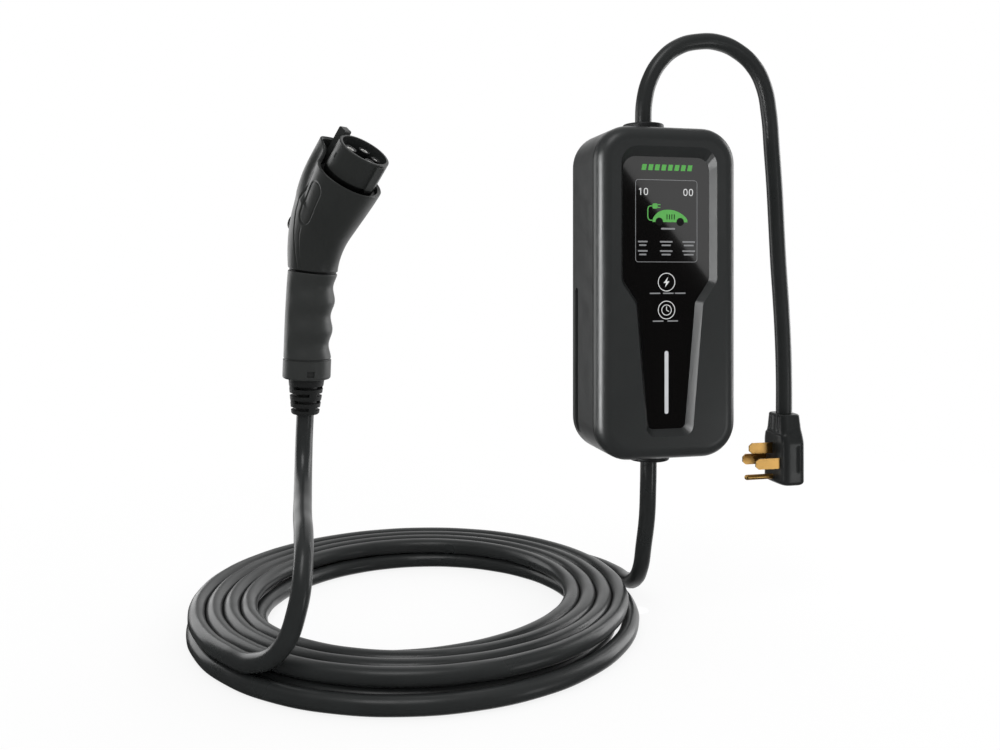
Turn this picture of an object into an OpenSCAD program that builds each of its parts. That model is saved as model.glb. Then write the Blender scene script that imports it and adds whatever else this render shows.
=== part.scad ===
// Portable charger for electric cars: a control box with a touch panel, a mains
// lead with a four-prong plug, and a coiled charging cable that ends in a hand-held
// vehicle connector with a sprung latch.
// The origin is the middle of the box's back, which hangs on two keyholes.
// +Z is up and the touch panel faces -Y.

/* [Control box] */
// Width of the box
case_w = 126; // [120:1:150]
// Height of the box
case_h = 280; // [276:1:320]
// Depth of the box from back to front
case_d = 72; // [70:1:90]
// Radius of the box's corners, seen from the front
corner_r = 30; // [27:1:34]
// Radius of the rounded edge round the front
front_edge_r = 12; // [10:0.5:13]
// Radius of the rounded edge round the back
back_edge_r = 5; // [3:0.5:7]
// Thickness of the housing walls
wall = 3; // [2.6:0.1:3.6]
// Thickness of the seal between the two housing halves
gasket_t = 1.2; // [0.8:0.1:2]
// Distance from the box's back to the axis of both cables
cable_y = 26; // [25:1:33]

/* [Touch panel] */
// Height of the box's front left free over and under the panel
panel_margin = 25.5; // [24:0.5:30]
// Width of the panel's upper part
panel_w = 78; // [74:1:82]
// Width of the panel just under its waist
waist_w = 52; // [46:1:58]
// Width of the panel at its foot
foot_w = 33; // [30:1:40]
// Height above the box's middle at which the panel starts to narrow
waist_z = 11; // [4:1:16]
// How far the panel lies below the box's front
panel_sink = 7; // [5:0.5:8]
// Thickness of the panel
panel_t = 2.4; // [2:0.1:3]
// Width of the sloping wall beside the panel
side_slope = 4; // [3:0.5:5]
// Height of the sloping wall over the panel
top_slope = 8; // [6:0.5:9]
// Height of the sloping wall under the panel
foot_slope = 5.5; // [4:0.5:7]
// Width of the display
display_w = 56; // [48:1:60]
// Height of the display
display_h = 71; // [60:1:74]
// Distance from the panel's top to the display
display_gap = 18.5; // [17:0.5:24]
// Length of the status light
light_l = 53; // [40:1:60]
// Width of the status light
light_w = 3.4; // [2.6:0.1:5]
// Distance from the panel's foot to the status light
light_gap = 12.5; // [10:0.5:16]
// Height of the two touch keys' middles, from the box's middle
key_z = [9, -15];

/* [Hanging] */
// Distance between the two keyholes
keyhole_pitch = 180; // [140:5:190]
// Radius of a keyhole's entry
keyhole_r = 4.5; // [4:0.1:5.5]
// Width of a keyhole's neck
keyhole_neck = 4.6; // [4:0.1:5.4]
// Width of the rail groove in each side
groove_w = 8; // [6:0.5:10]
// Depth of the rail groove
groove_d = 3; // [2:0.5:3.5]
// Distance from the back to the middle of the rail groove
groove_y = 15; // [13:1:18]

/* [Cables] */
// Diameter of the mains lead and of the charging cable
cable_d = 14.5; // [13:0.5:15]
// Radius of the coil's outermost turn, at its middle
coil_r = 189; // [180:1:200]
// Radius of the coil's innermost turn, at its middle
coil_inner_r = 137; // [130:1:150]
// Radius of the low collar where a cable enters the box
gland_r = 18; // [16:0.5:20]
// Height of that collar
gland_h = 7.5; // [3:0.5:8]
// Distance of the mains entry from the middle of the box's top, to the left
mains_shift = 5; // [0:1:8]

/* [Vehicle connector] */
// Diameter of the round barrel that enters the car's inlet
barrel_d = 44; // [42:0.5:45]
// Length of the barrel that stands out of the head
barrel_out = 21; // [18:1:26]
// Depth of the barrel's cup in front of the contacts
barrel_cup = 10; // [9:0.5:12]
// Length of the flexible strain relief
relief_l = 30; // [26:1:40]
// Length of the collar over the strain relief
collar_l = 17; // [15:1:22]
// Length of the grip
grip_l = 74; // [70:1:90]
// Half the grip's width
grip_r = 20.5; // [19.5:0.1:22]
// Depth of the finger hollows in the grip
finger_depth = 2.4; // [0:0.1:3]
// Thickness of the connector's shells
shell_t = 3; // [2.4:0.1:3.2]
// Half the width of the head at its mouth
mouth_r = 28.5; // [28.5:0.1:31]
// Reach of the head's hood over the latch, from the barrel's axis
hood_r = 42; // [41.5:0.5:45]
// Travel of the thumb button
button_travel = 4; // [3:0.5:4.5]

/* [Mains plug] */
// Width of the plug's body
plug_w = 38; // [35:1:44]
// Thickness of the plug's body, along its prongs
plug_t = 24; // [20:1:28]
// Height of the plug's body with its neck
plug_h = 63; // [60:1:70]
// Length of a flat prong outside the body
prong_l = 23; // [18:1:26]
// Distance between the two live prongs
live_pitch = 23.9; // [22:0.1:26]
// Diameter of the round earth prong
earth_d = 4.8; // [4.4:0.1:5.4]

/* [Hidden] */

$fn = 96;
fit = 0.1;          // gap of a close fit
run = 0.3;          // gap of a running fit
eps = 0.01;

// Colours
shell_grey = "#3b3b3d";
gloss_black = "#0b0909";
soft_black = "#2b2c2c";
board_green = "#2f5d3a";
part_grey = "#77787a";
brass = "#d4a762";

// Box levels, measured from the back
front_side = 0.8;                                   // straight side under the front's round edge
front_z0 = case_d - front_edge_r - front_side;
rear_top = front_z0 - gasket_t;
panel_front = case_d - panel_sink;
panel_back = panel_front - panel_t;
shelf_t = 2.4;                                      // shelf that carries the panel
shelf_z0 = panel_back - shelf_t;
board_t = 1.6;
display_pad = 1.2;                                  // pads between the shelf and the display board
display_board_z = shelf_z0 - display_pad - board_t;
main_board_z = 4 * wall;                            // height of the main board's pillars
main_board_top = main_board_z + board_t;

// Panel outline: corners from the upper right, each [x, z, radius]
panel_top_z = case_h / 2 - panel_margin;
display_z = panel_top_z - display_gap - display_h / 2;
waist_drop = 19;                                    // height of the slanted waist
function shield(side, top, foot) = let (
    w = panel_w / 2 + side, m = waist_w / 2 + side, f = foot_w / 2 + side,
    t = panel_top_z + top, b = -panel_top_z - foot,
    k = side * 0.36) [
    [w, t, 11 + side], [-w, t, 11 + side], [-w, waist_z - k, 9 + side], [-m, waist_z - waist_drop - k, 9],
    [-f, b, 5 + side], [f, b, 5 + side], [m, waist_z - waist_drop - k, 9], [w, waist_z - k, 9 + side]];

// Main board and what stands on it: sizes, and places [x, z] from the box's middle
board_side_room = 18;                               // room beside the board
board_end_room = 38;                                // room over and under the board
relay_size = [22, 30, 26];
relay_at = [19, 38];
sensor_r = 16;
sensor_bore = 8.5;
sensor_h = 15;
sensor_z = -52;
transformer_size = [28, 24, 24];
transformer_flange = 5;
transformer_at = [-22, -8];
capacitor_r = 6.2;
capacitor_h = 22;
capacitor_at = [[12, -2], [26, -2], [19, -17]];
fuse_size = [8, 26, 6];
fuse_r = 3.4;
fuse_at = [30, 70];
buzzer_r = 6;
buzzer_h = 8;
buzzer_at = [30, -40];
ribbon_w = 20;
ribbon_t = 0.8;
ribbon_at = [-28, 6];                               // from the display's middle

// Positions, [x, z] seen from the front
housing_screw_at = [for (sx = [-1, 1], p = [
    [case_w / 2 - 16, case_h / 2 - 21], [case_w / 2 - 11, 22], [case_w / 2 - 16, 21 - case_h / 2]]) [sx * p[0], p[1]]];
main_board_w = case_w - 2 * board_side_room;
main_board_h = case_h - 2 * board_end_room;
board_screw_at = [for (sx = [-1, 1], sz = [-1, 1]) [sx * (main_board_w / 2 - 5), sz * (main_board_h / 2 - 6)]];
display_peg_at = [for (sx = [-1, 1]) each [[sx * (panel_w / 2 - 5), panel_top_z - 24], [sx * (foot_w / 2 - 3), 20 - panel_top_z]]];
keyhole_at = [for (sz = [1, -1]) sz * keyhole_pitch / 2];
keyhole_rise = 10;                                  // length of a keyhole's neck
pocket_h = 6;                                       // depth of the closed pocket behind a keyhole
groove_foot = corner_r - 12 - case_h / 2;           // where the rail groove runs out in the box's round corner
light_z = light_gap + light_l / 2 - panel_top_z;    // middle of the status light

screw_r = 1.5;
screw_head_r = 3;
boss_r = 5.5;
head_seat = rear_top - 8;                           // where a housing screw's head seats

// Cable entry
cable_r = cable_d / 2;
stem_r = cable_r + 4;
nut_r = stem_r + 5;
nut_h = 6;
jacket_end = case_h / 2 - wall - nut_h - 9;         // height at which a cable's jacket ends in the box
wire_r = 2;
wire_pitch = 4.5;                                   // spacing of the conductors in a cable

// Connector: its axis is a chain of arcs in one upright plane, from the cable's end to the face
connector_at = [-296, 9, -102];
connector_yaw = -48.5;
lean_foot = 3;                                      // lean of the axis from upright
lean_grip = 7.5;
lean_knee = 35;
lean_face = 39;
knee_l = 43;
throat_l = 51;
s_grip = relief_l + collar_l;
s_seam = s_grip + grip_l;
s_knee = s_seam + knee_l;
s_mouth = s_knee + throat_l;
s_face = s_mouth + barrel_out;
s_button = s_seam + 29;

barrel_r = barrel_d / 2;
barrel_wall = 2.4;
flange_z = -barrel_out - 9;                         // front of the barrel's flange, from the face
flange_t = 3;
insert_back = flange_z - flange_t - 9;
pivot = [-27.5, flange_z - flange_t - 7.5];         // latch pin, in the face's frame
pin_r = 2;
latch_w = 7;
hook_t = 4.3;                                       // thickness of the latch's arm
tail_l = 24;                                        // reach of the latch's cheeks behind the contacts
cheek_t = 2.6;
button_r = 8.5;
stem_w = 6;

// Contacts in the face's frame, [across, up] with up towards the latch
power_at = [[-7.85, 6.8], [7.85, 6.8]];
earth_at = [[0, -10.6]];
signal_at = [[-10.65, -5.6], [10.65, -5.6]];

// Plug
plug_at = [131, -29, -111];                         // where the lead enters the plug's top
neck_l = 17;                                        // length of the plug's narrower neck
neck_w = 26;
plug_bevel = 2;
prong_root = 9;
prong_h = 9.5;
prong_t = 1.7;
live_drop = plug_h - 20;                            // depth of the live prongs below the plug's top
neutral_drop = live_drop - 12;
earth_drop = live_drop + 14;

// Coil
coil_at = [-197, 32];
coil_z = -290;

// Routes of the cables that hang free, from hand-picked points
mains_route = [[-5, -26, 122], [-5, -26, 148], [-4, -26, 168], [1, -26, 187], [12, -26, 205], [28, -26, 218],
    [48, -26, 224], [68, -26, 224], [87, -26, 217], [102, -27, 204], [112, -27, 186], [117, -27, 162],
    [120, -27, 128], [122, -28, 95], [124, -28, 60], [126, -28, 25], [128, -29, -10], [130, -29, -45],
    [131, -29, -80], [131, -29, -111], [131, -29, -122]];
drop_route = [[0, -26, -122], [0, -26, -148], [0, -25, -172], [1, -20, -200], [2, -10, -228], [5, 5, -253],
    [8, 27, -271], [10, 53, -280], [9, 82, -282], [-1, 112, -282], [-21, 140, -282], [-50, 165, -282], [-84, 184, -282]];
riser_route = [[-293, 6, -32], [-295, 8, -70], [-296, 9, -102], [-297, 6, -125], [-298, -7, -148], [-299, -30, -163],
    [-300, -60, -171], [-300, -90, -178], [-301, -113, -194], [-305, -124, -219], [-316, -118, -249], [-337, -95, -267],
    [-354, -73, -268]];

function unit(v) = v / norm(v);
function tangent(route, i) = unit(route[min(i + 1, len(route) - 1)] - route[max(i - 1, 0)]);
function across(v, t) = unit(v - (v * t) * t);

// A line of corners [x, y, radius] as a closed outline with round corners of n steps
function rounded(corners, n = 6) = [for (i = [0 : len(corners) - 1]) let (
    m = len(corners),
    c = [corners[i][0], corners[i][1]], r = corners[i][2],
    a = unit([for (k = [0, 1]) corners[(i + m - 1) % m][k] - c[k]]),
    b = unit([for (k = [0, 1]) corners[(i + 1) % m][k] - c[k]]),
    half = acos(a * b) / 2,
    hub = c + unit(a + b) * r / sin(half),
    from = c + a * r / tan(half) - hub, to = c + b * r / tan(half) - hub,
    start = atan2(from[1], from[0]),
    turn = atan2(from[0] * to[1] - from[1] * to[0], from * to))
    each [for (k = [0 : n]) hub + r * [cos(start + turn * k / n), sin(start + turn * k / n)]]];

function at_height(outline, z) = [for (p = outline) [p[0], p[1], z]];

// Solid through rings of points that run counter-clockwise seen from the last ring
module loft(rings) {
    n = len(rings[0]);
    m = len(rings);
    polyhedron([for (r = rings) each r], concat(
        [[for (i = [0 : n - 1]) i]],
        [for (j = [0 : m - 2], i = [0 : n - 1]) let (a = j * n + i, b = j * n + (i + 1) % n)
            each [[a, a + n, b + n], [a, b + n, b]]],
        [[for (i = [n - 1 : -1 : 0]) (m - 1) * n + i]]));
}

// Hollow shell between outer rings and inner rings of the same count
module shell_loft(outer, inner) {
    n = len(outer[0]);
    m = len(outer);
    o = m * n;
    polyhedron([for (r = concat(outer, inner)) each r], concat(
        [for (j = [0 : m - 2], i = [0 : n - 1]) let (a = j * n + i, b = j * n + (i + 1) % n)
            each [[a, a + n, b + n], [a, b + n, b], [o + a, o + b + n, o + a + n], [o + a, o + b, o + b + n]]],
        [for (i = [0 : n - 1]) let (b = (i + 1) % n, t = (m - 1) * n)
            each [[i, b, o + b], [i, o + b, o + i], [t + i, o + t + b, t + b], [t + i, o + t + i, o + t + b]]]));
}

// Round tube along a route
module tube(route, r, sides = 10) {
    last = len(route) - 1;
    loft([for (i = 0, n = across([0.36, 0.8, 0.48], tangent(route, 0)); i <= last;
        n = across(n, tangent(route, min(i + 1, last))), i = i + 1) let (b = cross(tangent(route, i), n))
        [for (k = [0 : sides - 1]) route[i] + r * (cos(360 * k / sides) * n + sin(360 * k / sides) * b)]]);
}

module rounded_rect(w, h, r) {
    square([w - 2 * r, h], center = true);
    square([w, h - 2 * r], center = true);
    for (sx = [-1, 1], sy = [-1, 1]) translate([sx * (w / 2 - r), sy * (h / 2 - r)]) circle(r);
}

// Control box, drawn with x across, y up and z from the back to the front
module in_case() rotate([90, 0, 0]) children();

// Block with round corners and one rounded rim, made by carrying the rim's profile round the corners and sides
module rim_profile(cr, t, er) {
    square([cr, t - er]);
    square([cr - er, t]);
    translate([cr - er, t - er]) intersection() {
        circle(er);
        square(er);
    }
}

module rim_block(w, h, cr, t, er) {
    for (k = [0 : 3])
        translate([(k == 0 || k == 3 ? 1 : -1) * (w / 2 - cr), (k < 2 ? 1 : -1) * (h / 2 - cr), 0])
            rotate(90 * k) rotate_extrude(angle = 90) rim_profile(cr, t, er);
    for (k = [0, 1]) mirror([k, 0, 0]) translate([w / 2 - cr, 0, 0])
        rotate([90, 0, 0]) linear_extrude(h - 2 * cr, center = true) rim_profile(cr, t, er);
    for (k = [0, 1]) mirror([0, k, 0]) translate([0, h / 2 - cr, 0])
        rotate([90, 0, 90]) linear_extrude(w - 2 * cr, center = true) rim_profile(cr, t, er);
    translate([cr - w / 2, cr - h / 2, 0]) cube([w - 2 * cr, h - 2 * cr, t]);
}

module keyhole(r, neck, z0, z1) translate([0, 0, z0]) linear_extrude(z1 - z0) {
    circle(r);
    translate([-neck / 2, 0]) square([neck, keyhole_rise]);
    translate([0, keyhole_rise]) circle(neck / 2);
}

module rail_groove() {
    h = case_h / 2 + 1;
    translate([case_w / 2 - groove_d, -h, groove_y - groove_w / 2]) cube([groove_d + 1, h, groove_w]);
    translate([case_w / 2 - groove_d, 0, groove_y]) rotate([0, 90, 0]) cylinder(r = groove_w / 2, h = groove_d + 1);
}

function entry_x(s) = s > 0 ? -mains_shift : 0;     // the mains entry is the upper one
module cable_holes(r) for (s = [-1, 1])
    translate([entry_x(s), s * case_h / 2, cable_y]) rotate([90, 0, 0]) cylinder(r = r, h = 4 * wall, center = true);

module rear_housing() color(shell_grey) in_case() difference() {
    union() {
        difference() {
            translate([0, 0, rear_top]) mirror([0, 0, 1]) rim_block(case_w, case_h, corner_r, rear_top, back_edge_r);
            difference() {
                translate([0, 0, wall]) linear_extrude(case_d) rounded_rect(case_w - 2 * wall, case_h - 2 * wall, corner_r - wall);
                for (s = [0, 1]) mirror([s, 0, 0])
                    translate([case_w / 2 - groove_d - wall, groove_foot, groove_y - groove_w / 2 - wall])
                        cube([groove_d + wall, groove_w / 2 + wall - groove_foot, groove_w + 2 * wall]);
            }
        }
        for (p = housing_screw_at) translate([p[0], p[1], wall - eps]) cylinder(r = boss_r, h = rear_top - wall + eps);
        for (p = board_screw_at) translate([p[0], p[1], wall - eps]) cylinder(r = 4, h = main_board_z - wall + eps);
        for (z = keyhole_at) translate([-keyhole_r - wall, z - keyhole_r - wall, wall - eps])
            cube([2 * (keyhole_r + wall), keyhole_rise + 2 * (keyhole_r + wall), pocket_h + 2]);
    }
    for (z = keyhole_at) translate([0, z, 0]) {
        keyhole(keyhole_r, keyhole_neck, -1, wall + 0.5);
        keyhole(keyhole_r, 2 * keyhole_r, wall, wall + pocket_h);
    }
    for (s = [0, 1]) mirror([s, 0, 0]) rail_groove();
    for (p = housing_screw_at) translate([p[0], p[1], 0]) {
        translate([0, 0, -1]) cylinder(r = screw_head_r + run, h = head_seat + 1);
        cylinder(r = screw_r + run, h = case_d);
    }
    for (p = board_screw_at) translate([p[0], p[1], wall]) cylinder(r = screw_r + fit / 2, h = case_d);
    cable_holes(stem_r + fit);
}

module housing_gasket() color("#141414") in_case() translate([0, 0, rear_top]) linear_extrude(gasket_t) difference() {
    rounded_rect(case_w - 1.4, case_h - 1.4, corner_r - 0.7);
    rounded_rect(case_w - 2 * wall, case_h - 2 * wall, corner_r - wall);
}

module key_holes(r, z0, z1) for (z = key_z) translate([0, z, z0]) cylinder(r = r, h = z1 - z0);

module light_slot(gap, z0, z1) translate([0, light_z, z0]) linear_extrude(z1 - z0)
    rounded_rect(light_w + 2 * gap, light_l + 2 * gap, light_w / 2 + gap - eps);

module front_housing() color(shell_grey) in_case() {
    seat = rounded(shield(fit, fit, fit));
    mouth = rounded(shield(side_slope, top_slope, foot_slope));
    difference() {
        translate([0, 0, front_z0]) rim_block(case_w, case_h, corner_r, case_d - front_z0, front_edge_r);
        difference() {
            union() {
                translate([0, 0, front_z0 - 1]) linear_extrude(5 + front_side + 1)
                    rounded_rect(case_w - 2 * wall - 1, case_h - 2 * wall - 1, corner_r - wall - 0.5);
                translate([0, 0, front_z0]) linear_extrude(case_d - wall - front_z0)
                    rounded_rect(case_w - 2 * front_edge_r + 4, case_h - 2 * front_edge_r + 4, corner_r - front_edge_r + 2);
            }
            translate([0, 0, shelf_z0]) linear_extrude(case_d) polygon(rounded(shield(side_slope + wall, top_slope + wall, foot_slope + wall)));
            for (p = housing_screw_at) translate([p[0], p[1], front_z0 - 2]) cylinder(r = boss_r - 1, h = case_d);
            for (p = display_peg_at) translate([p[0], p[1], shelf_z0 - display_pad]) cylinder(r = 3, h = case_d);
        }
        loft([at_height(seat, panel_back), at_height(seat, panel_front), at_height(mouth, case_d), at_height(mouth, case_d + 1)]);
        translate([-display_w / 2 - run, display_z - display_h / 2 - run, shelf_z0 - 1]) cube([display_w + 2 * run, display_h + 2 * run, case_d]);
        key_holes(7, shelf_z0 - 1, case_d);
        light_slot(run, shelf_z0 - 1, case_d);
        for (p = housing_screw_at) translate([p[0], p[1], front_z0 - 1]) cylinder(r = screw_r + fit / 2, h = 7);
        for (p = display_peg_at) translate([p[0], p[1], shelf_z0 - 3]) cylinder(r = screw_r + fit / 2, h = 4.4);
    }
}

module touch_panel() color(gloss_black) in_case() difference() {
    translate([0, 0, panel_back]) linear_extrude(panel_t) polygon(rounded(shield(0, 0, 0)));
    light_slot(fit, panel_back - 1, case_d);
}

module display_module() color("#1a1d22") in_case()
    translate([-display_w / 2, display_z - display_h / 2, display_board_z + board_t])
        cube([display_w, display_h, panel_back - display_board_z - board_t]);

module display_board() color(board_green) in_case() difference() {
    translate([0, 0, display_board_z]) linear_extrude(board_t) polygon(rounded(shield(-1, -1, -1)));
    for (p = display_peg_at) translate([p[0], p[1], 0]) cylinder(r = screw_r + run, h = case_d);
}

module display_ribbon() color("#8d8f93") in_case()
    translate([ribbon_at[0], display_z + ribbon_at[1], main_board_top]) cube([ribbon_w, ribbon_t, display_board_z - main_board_top]);

module touch_springs() color("#b9a36a") in_case() for (z = key_z) translate([0, z, display_board_z + board_t]) difference() {
    cylinder(r = 6, h = panel_back - display_board_z - board_t);
    translate([0, 0, -1]) cylinder(r = 4.6, h = case_d);
}

module status_light() color("#f4f4f0") in_case() light_slot(0, display_board_z + board_t, panel_front);

module main_board() color(board_green) in_case() difference() {
    translate([-main_board_w / 2, -main_board_h / 2, main_board_z]) cube([main_board_w, main_board_h, board_t]);
    for (p = board_screw_at) translate([p[0], p[1], 0]) cylinder(r = screw_r + run, h = case_d);
}

// Parts that stand on the main board, at [x, z]
module on_board(at) in_case() translate([at[0], at[1], main_board_top]) children();
module standing(size) translate([-size[0] / 2, -size[1] / 2, 0]) cube(size);

module power_relays() color("#20242c") for (s = [-1, 1]) on_board([s * relay_at[0], relay_at[1]]) standing(relay_size);

module leakage_sensor() color("#25344e") on_board([0, sensor_z]) difference() {
    cylinder(r = sensor_r, h = sensor_h);
    translate([0, 0, -1]) cylinder(r = sensor_bore, h = sensor_h + 2);
}

module supply_transformer() color("#c9a548") on_board(transformer_at) {
    standing([transformer_size[0], transformer_size[1], transformer_flange]);
    standing([transformer_size[0] - 6, transformer_size[1] - 6, transformer_size[2] - eps]);
    translate([0, 0, transformer_size[2] - transformer_flange]) standing([transformer_size[0], transformer_size[1], transformer_flange]);
}

module supply_capacitors() color("#2a3a66") for (p = capacitor_at) on_board(p) cylinder(r = capacitor_r, h = capacitor_h);

module fuse_holder() color("#d9d6cf") on_board(fuse_at) {
    standing([fuse_size[0], fuse_size[1], fuse_size[2] / 2]);
    translate([0, fuse_size[1] / 2, fuse_size[2]]) rotate([90, 0, 0]) cylinder(r = fuse_r, h = fuse_size[1]);
    for (s = [-1, 1]) translate([0, s * (fuse_size[1] / 2 - fuse_r), 0]) standing([fuse_size[0], 2 * fuse_r, fuse_size[2]]);
}

module buzzer() color("#111111") on_board(buzzer_at) difference() {
    cylinder(r = buzzer_r, h = buzzer_h);
    translate([0, 0, buzzer_h - 2]) cylinder(r = buzzer_r / 5, h = 3);
}

// Terminal block with one wire way for each conductor
block_h = 18;
block_d = 16;
block_gap = 9;      // from the cable's jacket to the block
way_pitch = 10;
function block_y() = jacket_end - block_gap - block_d;
module terminal_block() difference() {
    translate([-2 * way_pitch, 0, 0]) cube([4 * way_pitch, block_d, block_h]);
    for (k = [-1 : 1]) translate([k * way_pitch, block_d - 5, block_h - 6]) cylinder(r = 2.6, h = 9);
}

module mains_terminal_block() color("#2f6b46") on_board([entry_x(1), block_y()]) terminal_block();
module output_terminal_block() color("#2f6b46") on_board([entry_x(-1), -block_y()]) mirror([0, 1, 0]) terminal_block();

// Conductors from the end of a cable's jacket to the terminal block
module conductors(s) in_case() for (k = [-1 : 1])
    tube([[entry_x(s) + k * wire_pitch, s * jacket_end, cable_y], [entry_x(s) + k * wire_pitch, s * (jacket_end - 2), cable_y],
        [entry_x(s) + k * way_pitch, s * (jacket_end - block_gap + 2), main_board_top + block_h - 7],
        [entry_x(s) + k * way_pitch, s * (jacket_end - block_gap), main_board_top + block_h - 7]], wire_r, 8);
module mains_wires() color("#6b3a2a") conductors(1);
module output_wires() color("#6b3a2a") conductors(-1);

// Cable entry: a low collar outside, a stem through the wall and a nut inside
module gland() rotate_extrude() difference() {
    union() {
        translate([cable_r + fit, -wall - nut_h - 2]) square([stem_r - cable_r - fit, wall + nut_h + 2 + gland_h]);
        translate([cable_r + fit, 0]) square([gland_r - 1.5 - cable_r - fit, gland_h]);
        translate([cable_r + fit, 0]) square([gland_r - cable_r - fit, gland_h - 1.5]);
        translate([gland_r - 1.5, gland_h - 1.5]) circle(1.5);
    }
    translate([0, gland_h - 1]) square([cable_r + 1.2, 2]);
}

module gland_nut() difference() {
    translate([0, 0, -wall - nut_h]) cylinder(r = nut_r, h = nut_h, $fn = 6);
    translate([0, 0, -wall - nut_h - 1]) cylinder(r = stem_r + fit, h = nut_h + 2);
}

module at_mains_entry() translate([entry_x(1), -cable_y, case_h / 2]) children();
module at_output_entry() translate([entry_x(-1), -cable_y, -case_h / 2]) mirror([0, 0, 1]) children();
module mains_gland() color(soft_black) at_mains_entry() gland();
module output_gland() color(soft_black) at_output_entry() gland();
module mains_gland_nut() color(soft_black) at_mains_entry() gland_nut();
module output_gland_nut() color(soft_black) at_output_entry() gland_nut();

module pan_screw(shank) {
    cylinder(r = screw_r, h = shank);
    difference() {
        translate([0, 0, -2]) cylinder(r = screw_head_r, h = 2);
        translate([0, 0, -2.1]) cylinder(r = 1.4, h = 1.3, $fn = 6);
    }
}

module housing_screws() color(part_grey) in_case() for (p = housing_screw_at) translate([p[0], p[1], head_seat]) pan_screw(front_z0 + 5 - head_seat);

module board_screws() color(part_grey) in_case() {
    for (p = board_screw_at) translate([p[0], p[1], main_board_top]) mirror([0, 0, 1]) pan_screw(main_board_top - wall - 0.5);
    for (p = display_peg_at) translate([p[0], p[1], display_board_z]) pan_screw(board_t + display_pad + 1.2);
}

// Vehicle connector, drawn with x along its lean, y across and z up, from the end of its strain relief
module in_connector() translate(connector_at) rotate([0, 0, connector_yaw]) children();

function blend(a, b, t) = a + (b - a) * t;
function ease(t) = t * t * (3 - 2 * t);

function lean_at(s) = s <= s_grip ? lean_foot
    : s <= s_seam ? blend(lean_foot, lean_grip, (s - s_grip) / grip_l)
    : s <= s_knee ? blend(lean_grip, lean_knee, (s - s_seam) / knee_l)
    : s <= s_mouth ? blend(lean_knee, lean_face, (s - s_knee) / throat_l) : lean_face;
// End of an arc or a straight run that starts at p with lean a, ends with lean b and is l long
function arc_end(p, a, b, l) = abs(b - a) < 0.01 ? p + l * [sin(a), cos(a)]
    : p + l / ((b - a) * PI / 180) * [cos(a) - cos(b), sin(b) - sin(a)];
p_grip = arc_end([0, 0], lean_foot, lean_foot, s_grip);
p_seam = arc_end(p_grip, lean_foot, lean_grip, grip_l);
p_knee = arc_end(p_seam, lean_grip, lean_knee, knee_l);
p_mouth = arc_end(p_knee, lean_knee, lean_face, throat_l);
function axis_at(s) = s <= s_grip ? arc_end([0, 0], lean_foot, lean_foot, s)
    : s <= s_seam ? arc_end(p_grip, lean_foot, lean_at(s), s - s_grip)
    : s <= s_knee ? arc_end(p_seam, lean_grip, lean_at(s), s - s_seam)
    : s <= s_mouth ? arc_end(p_knee, lean_knee, lean_at(s), s - s_knee)
    : arc_end(p_mouth, lean_face, lean_face, s - s_mouth);
// Point in the connector's upright plane, from its place in the frame at s
function side_point(s, x, z) = let (p = axis_at(s), a = lean_at(s)) p + x * [cos(a), -sin(a)] + z * [sin(a), cos(a)];
function space_point(s, x, y, z = 0) = let (p = side_point(s, x, z)) [p[0], y, p[1]];
module at_axis(s) translate(space_point(s, 0, 0)) rotate([0, lean_at(s), 0]) children();
module at_face() at_axis(s_face) children();

// Closed section of the connector's shells: reach(a) from the axis at the angle a, which is 180 on the latch side
ring_n = 48;
ring_angles = [for (k = [0 : ring_n - 1]) 360 * k / ring_n];
function ring(s, reach) = [for (k = [0 : ring_n - 1])
    space_point(is_list(s) ? s[k] : s, reach[k] * cos(ring_angles[k]), reach[k] * sin(ring_angles[k]))];

// Head: grows from the grip's round section to a round mouth with an arched hood over the latch
hood_w = 14;        // half the arch's width at the mouth
hood_lap = 6;       // how far the hood reaches past the mouth
mouth_back = 5;     // how far the mouth's rim stays back beside the hood
edge_in = 0.9;      // bevel at the ends of the shells
function limit(v) = min(max(v, 0), 1);
function head_t(s) = limit((s - s_seam) / (s_mouth - s_seam));
function head_conv(s) = blend(hood_r, grip_r, pow(1 - head_t(s), 1.8));
function head_half(s) = blend(grip_r, mouth_r, ease(head_t(s)));
function arching(s) = ease(limit(2 * head_t(s) - 1));
function arch_reach(s, a) = let (w = min(blend(26, hood_w, arching(s)), head_half(s)), p = blend(2, 4, arching(s)))
    pow(pow(abs(cos(a)) / head_conv(s), p) + pow(abs(sin(a)) / w, p), -1 / p);
function smooth_max(a, b, k) = max(a, b) + pow(max(k - abs(a - b), 0), 2) / (4 * k);
function head_reach(s, a) = let (b = head_half(s), k = 0.01 + 5 * arching(s))
    b + (smooth_max(b, arch_reach(s, a), k) - b) * ease(limit(-cos(a) / 0.3));
function rim_at(a) = s_mouth + blend(-mouth_back, hood_lap, ease(limit((45 - abs(a - 180)) / 27)));
head_steps = [0, 0.01, 0.1, 0.2, 0.3, 0.4, 0.5, 0.6, 0.7, 0.8, 0.9, 0.985, 1];
function head_ring(t, inset) = let (s = [for (a = ring_angles) blend(s_seam, rim_at(a), t)])
    ring(s, [for (k = [0 : ring_n - 1]) head_reach(s[k], ring_angles[k]) - inset]);
module head_shell() shell_loft([for (t = head_steps) head_ring(t, t == 0 || t == 1 ? edge_in : 0)],
    [for (t = head_steps) head_ring(t, shell_t)]);

module connector_head() color(soft_black) in_connector() difference() {
    head_shell();
    at_axis(s_button) rotate([0, -90, 0]) cylinder(r = button_r + run, h = 2 * hood_r);
}

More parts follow.
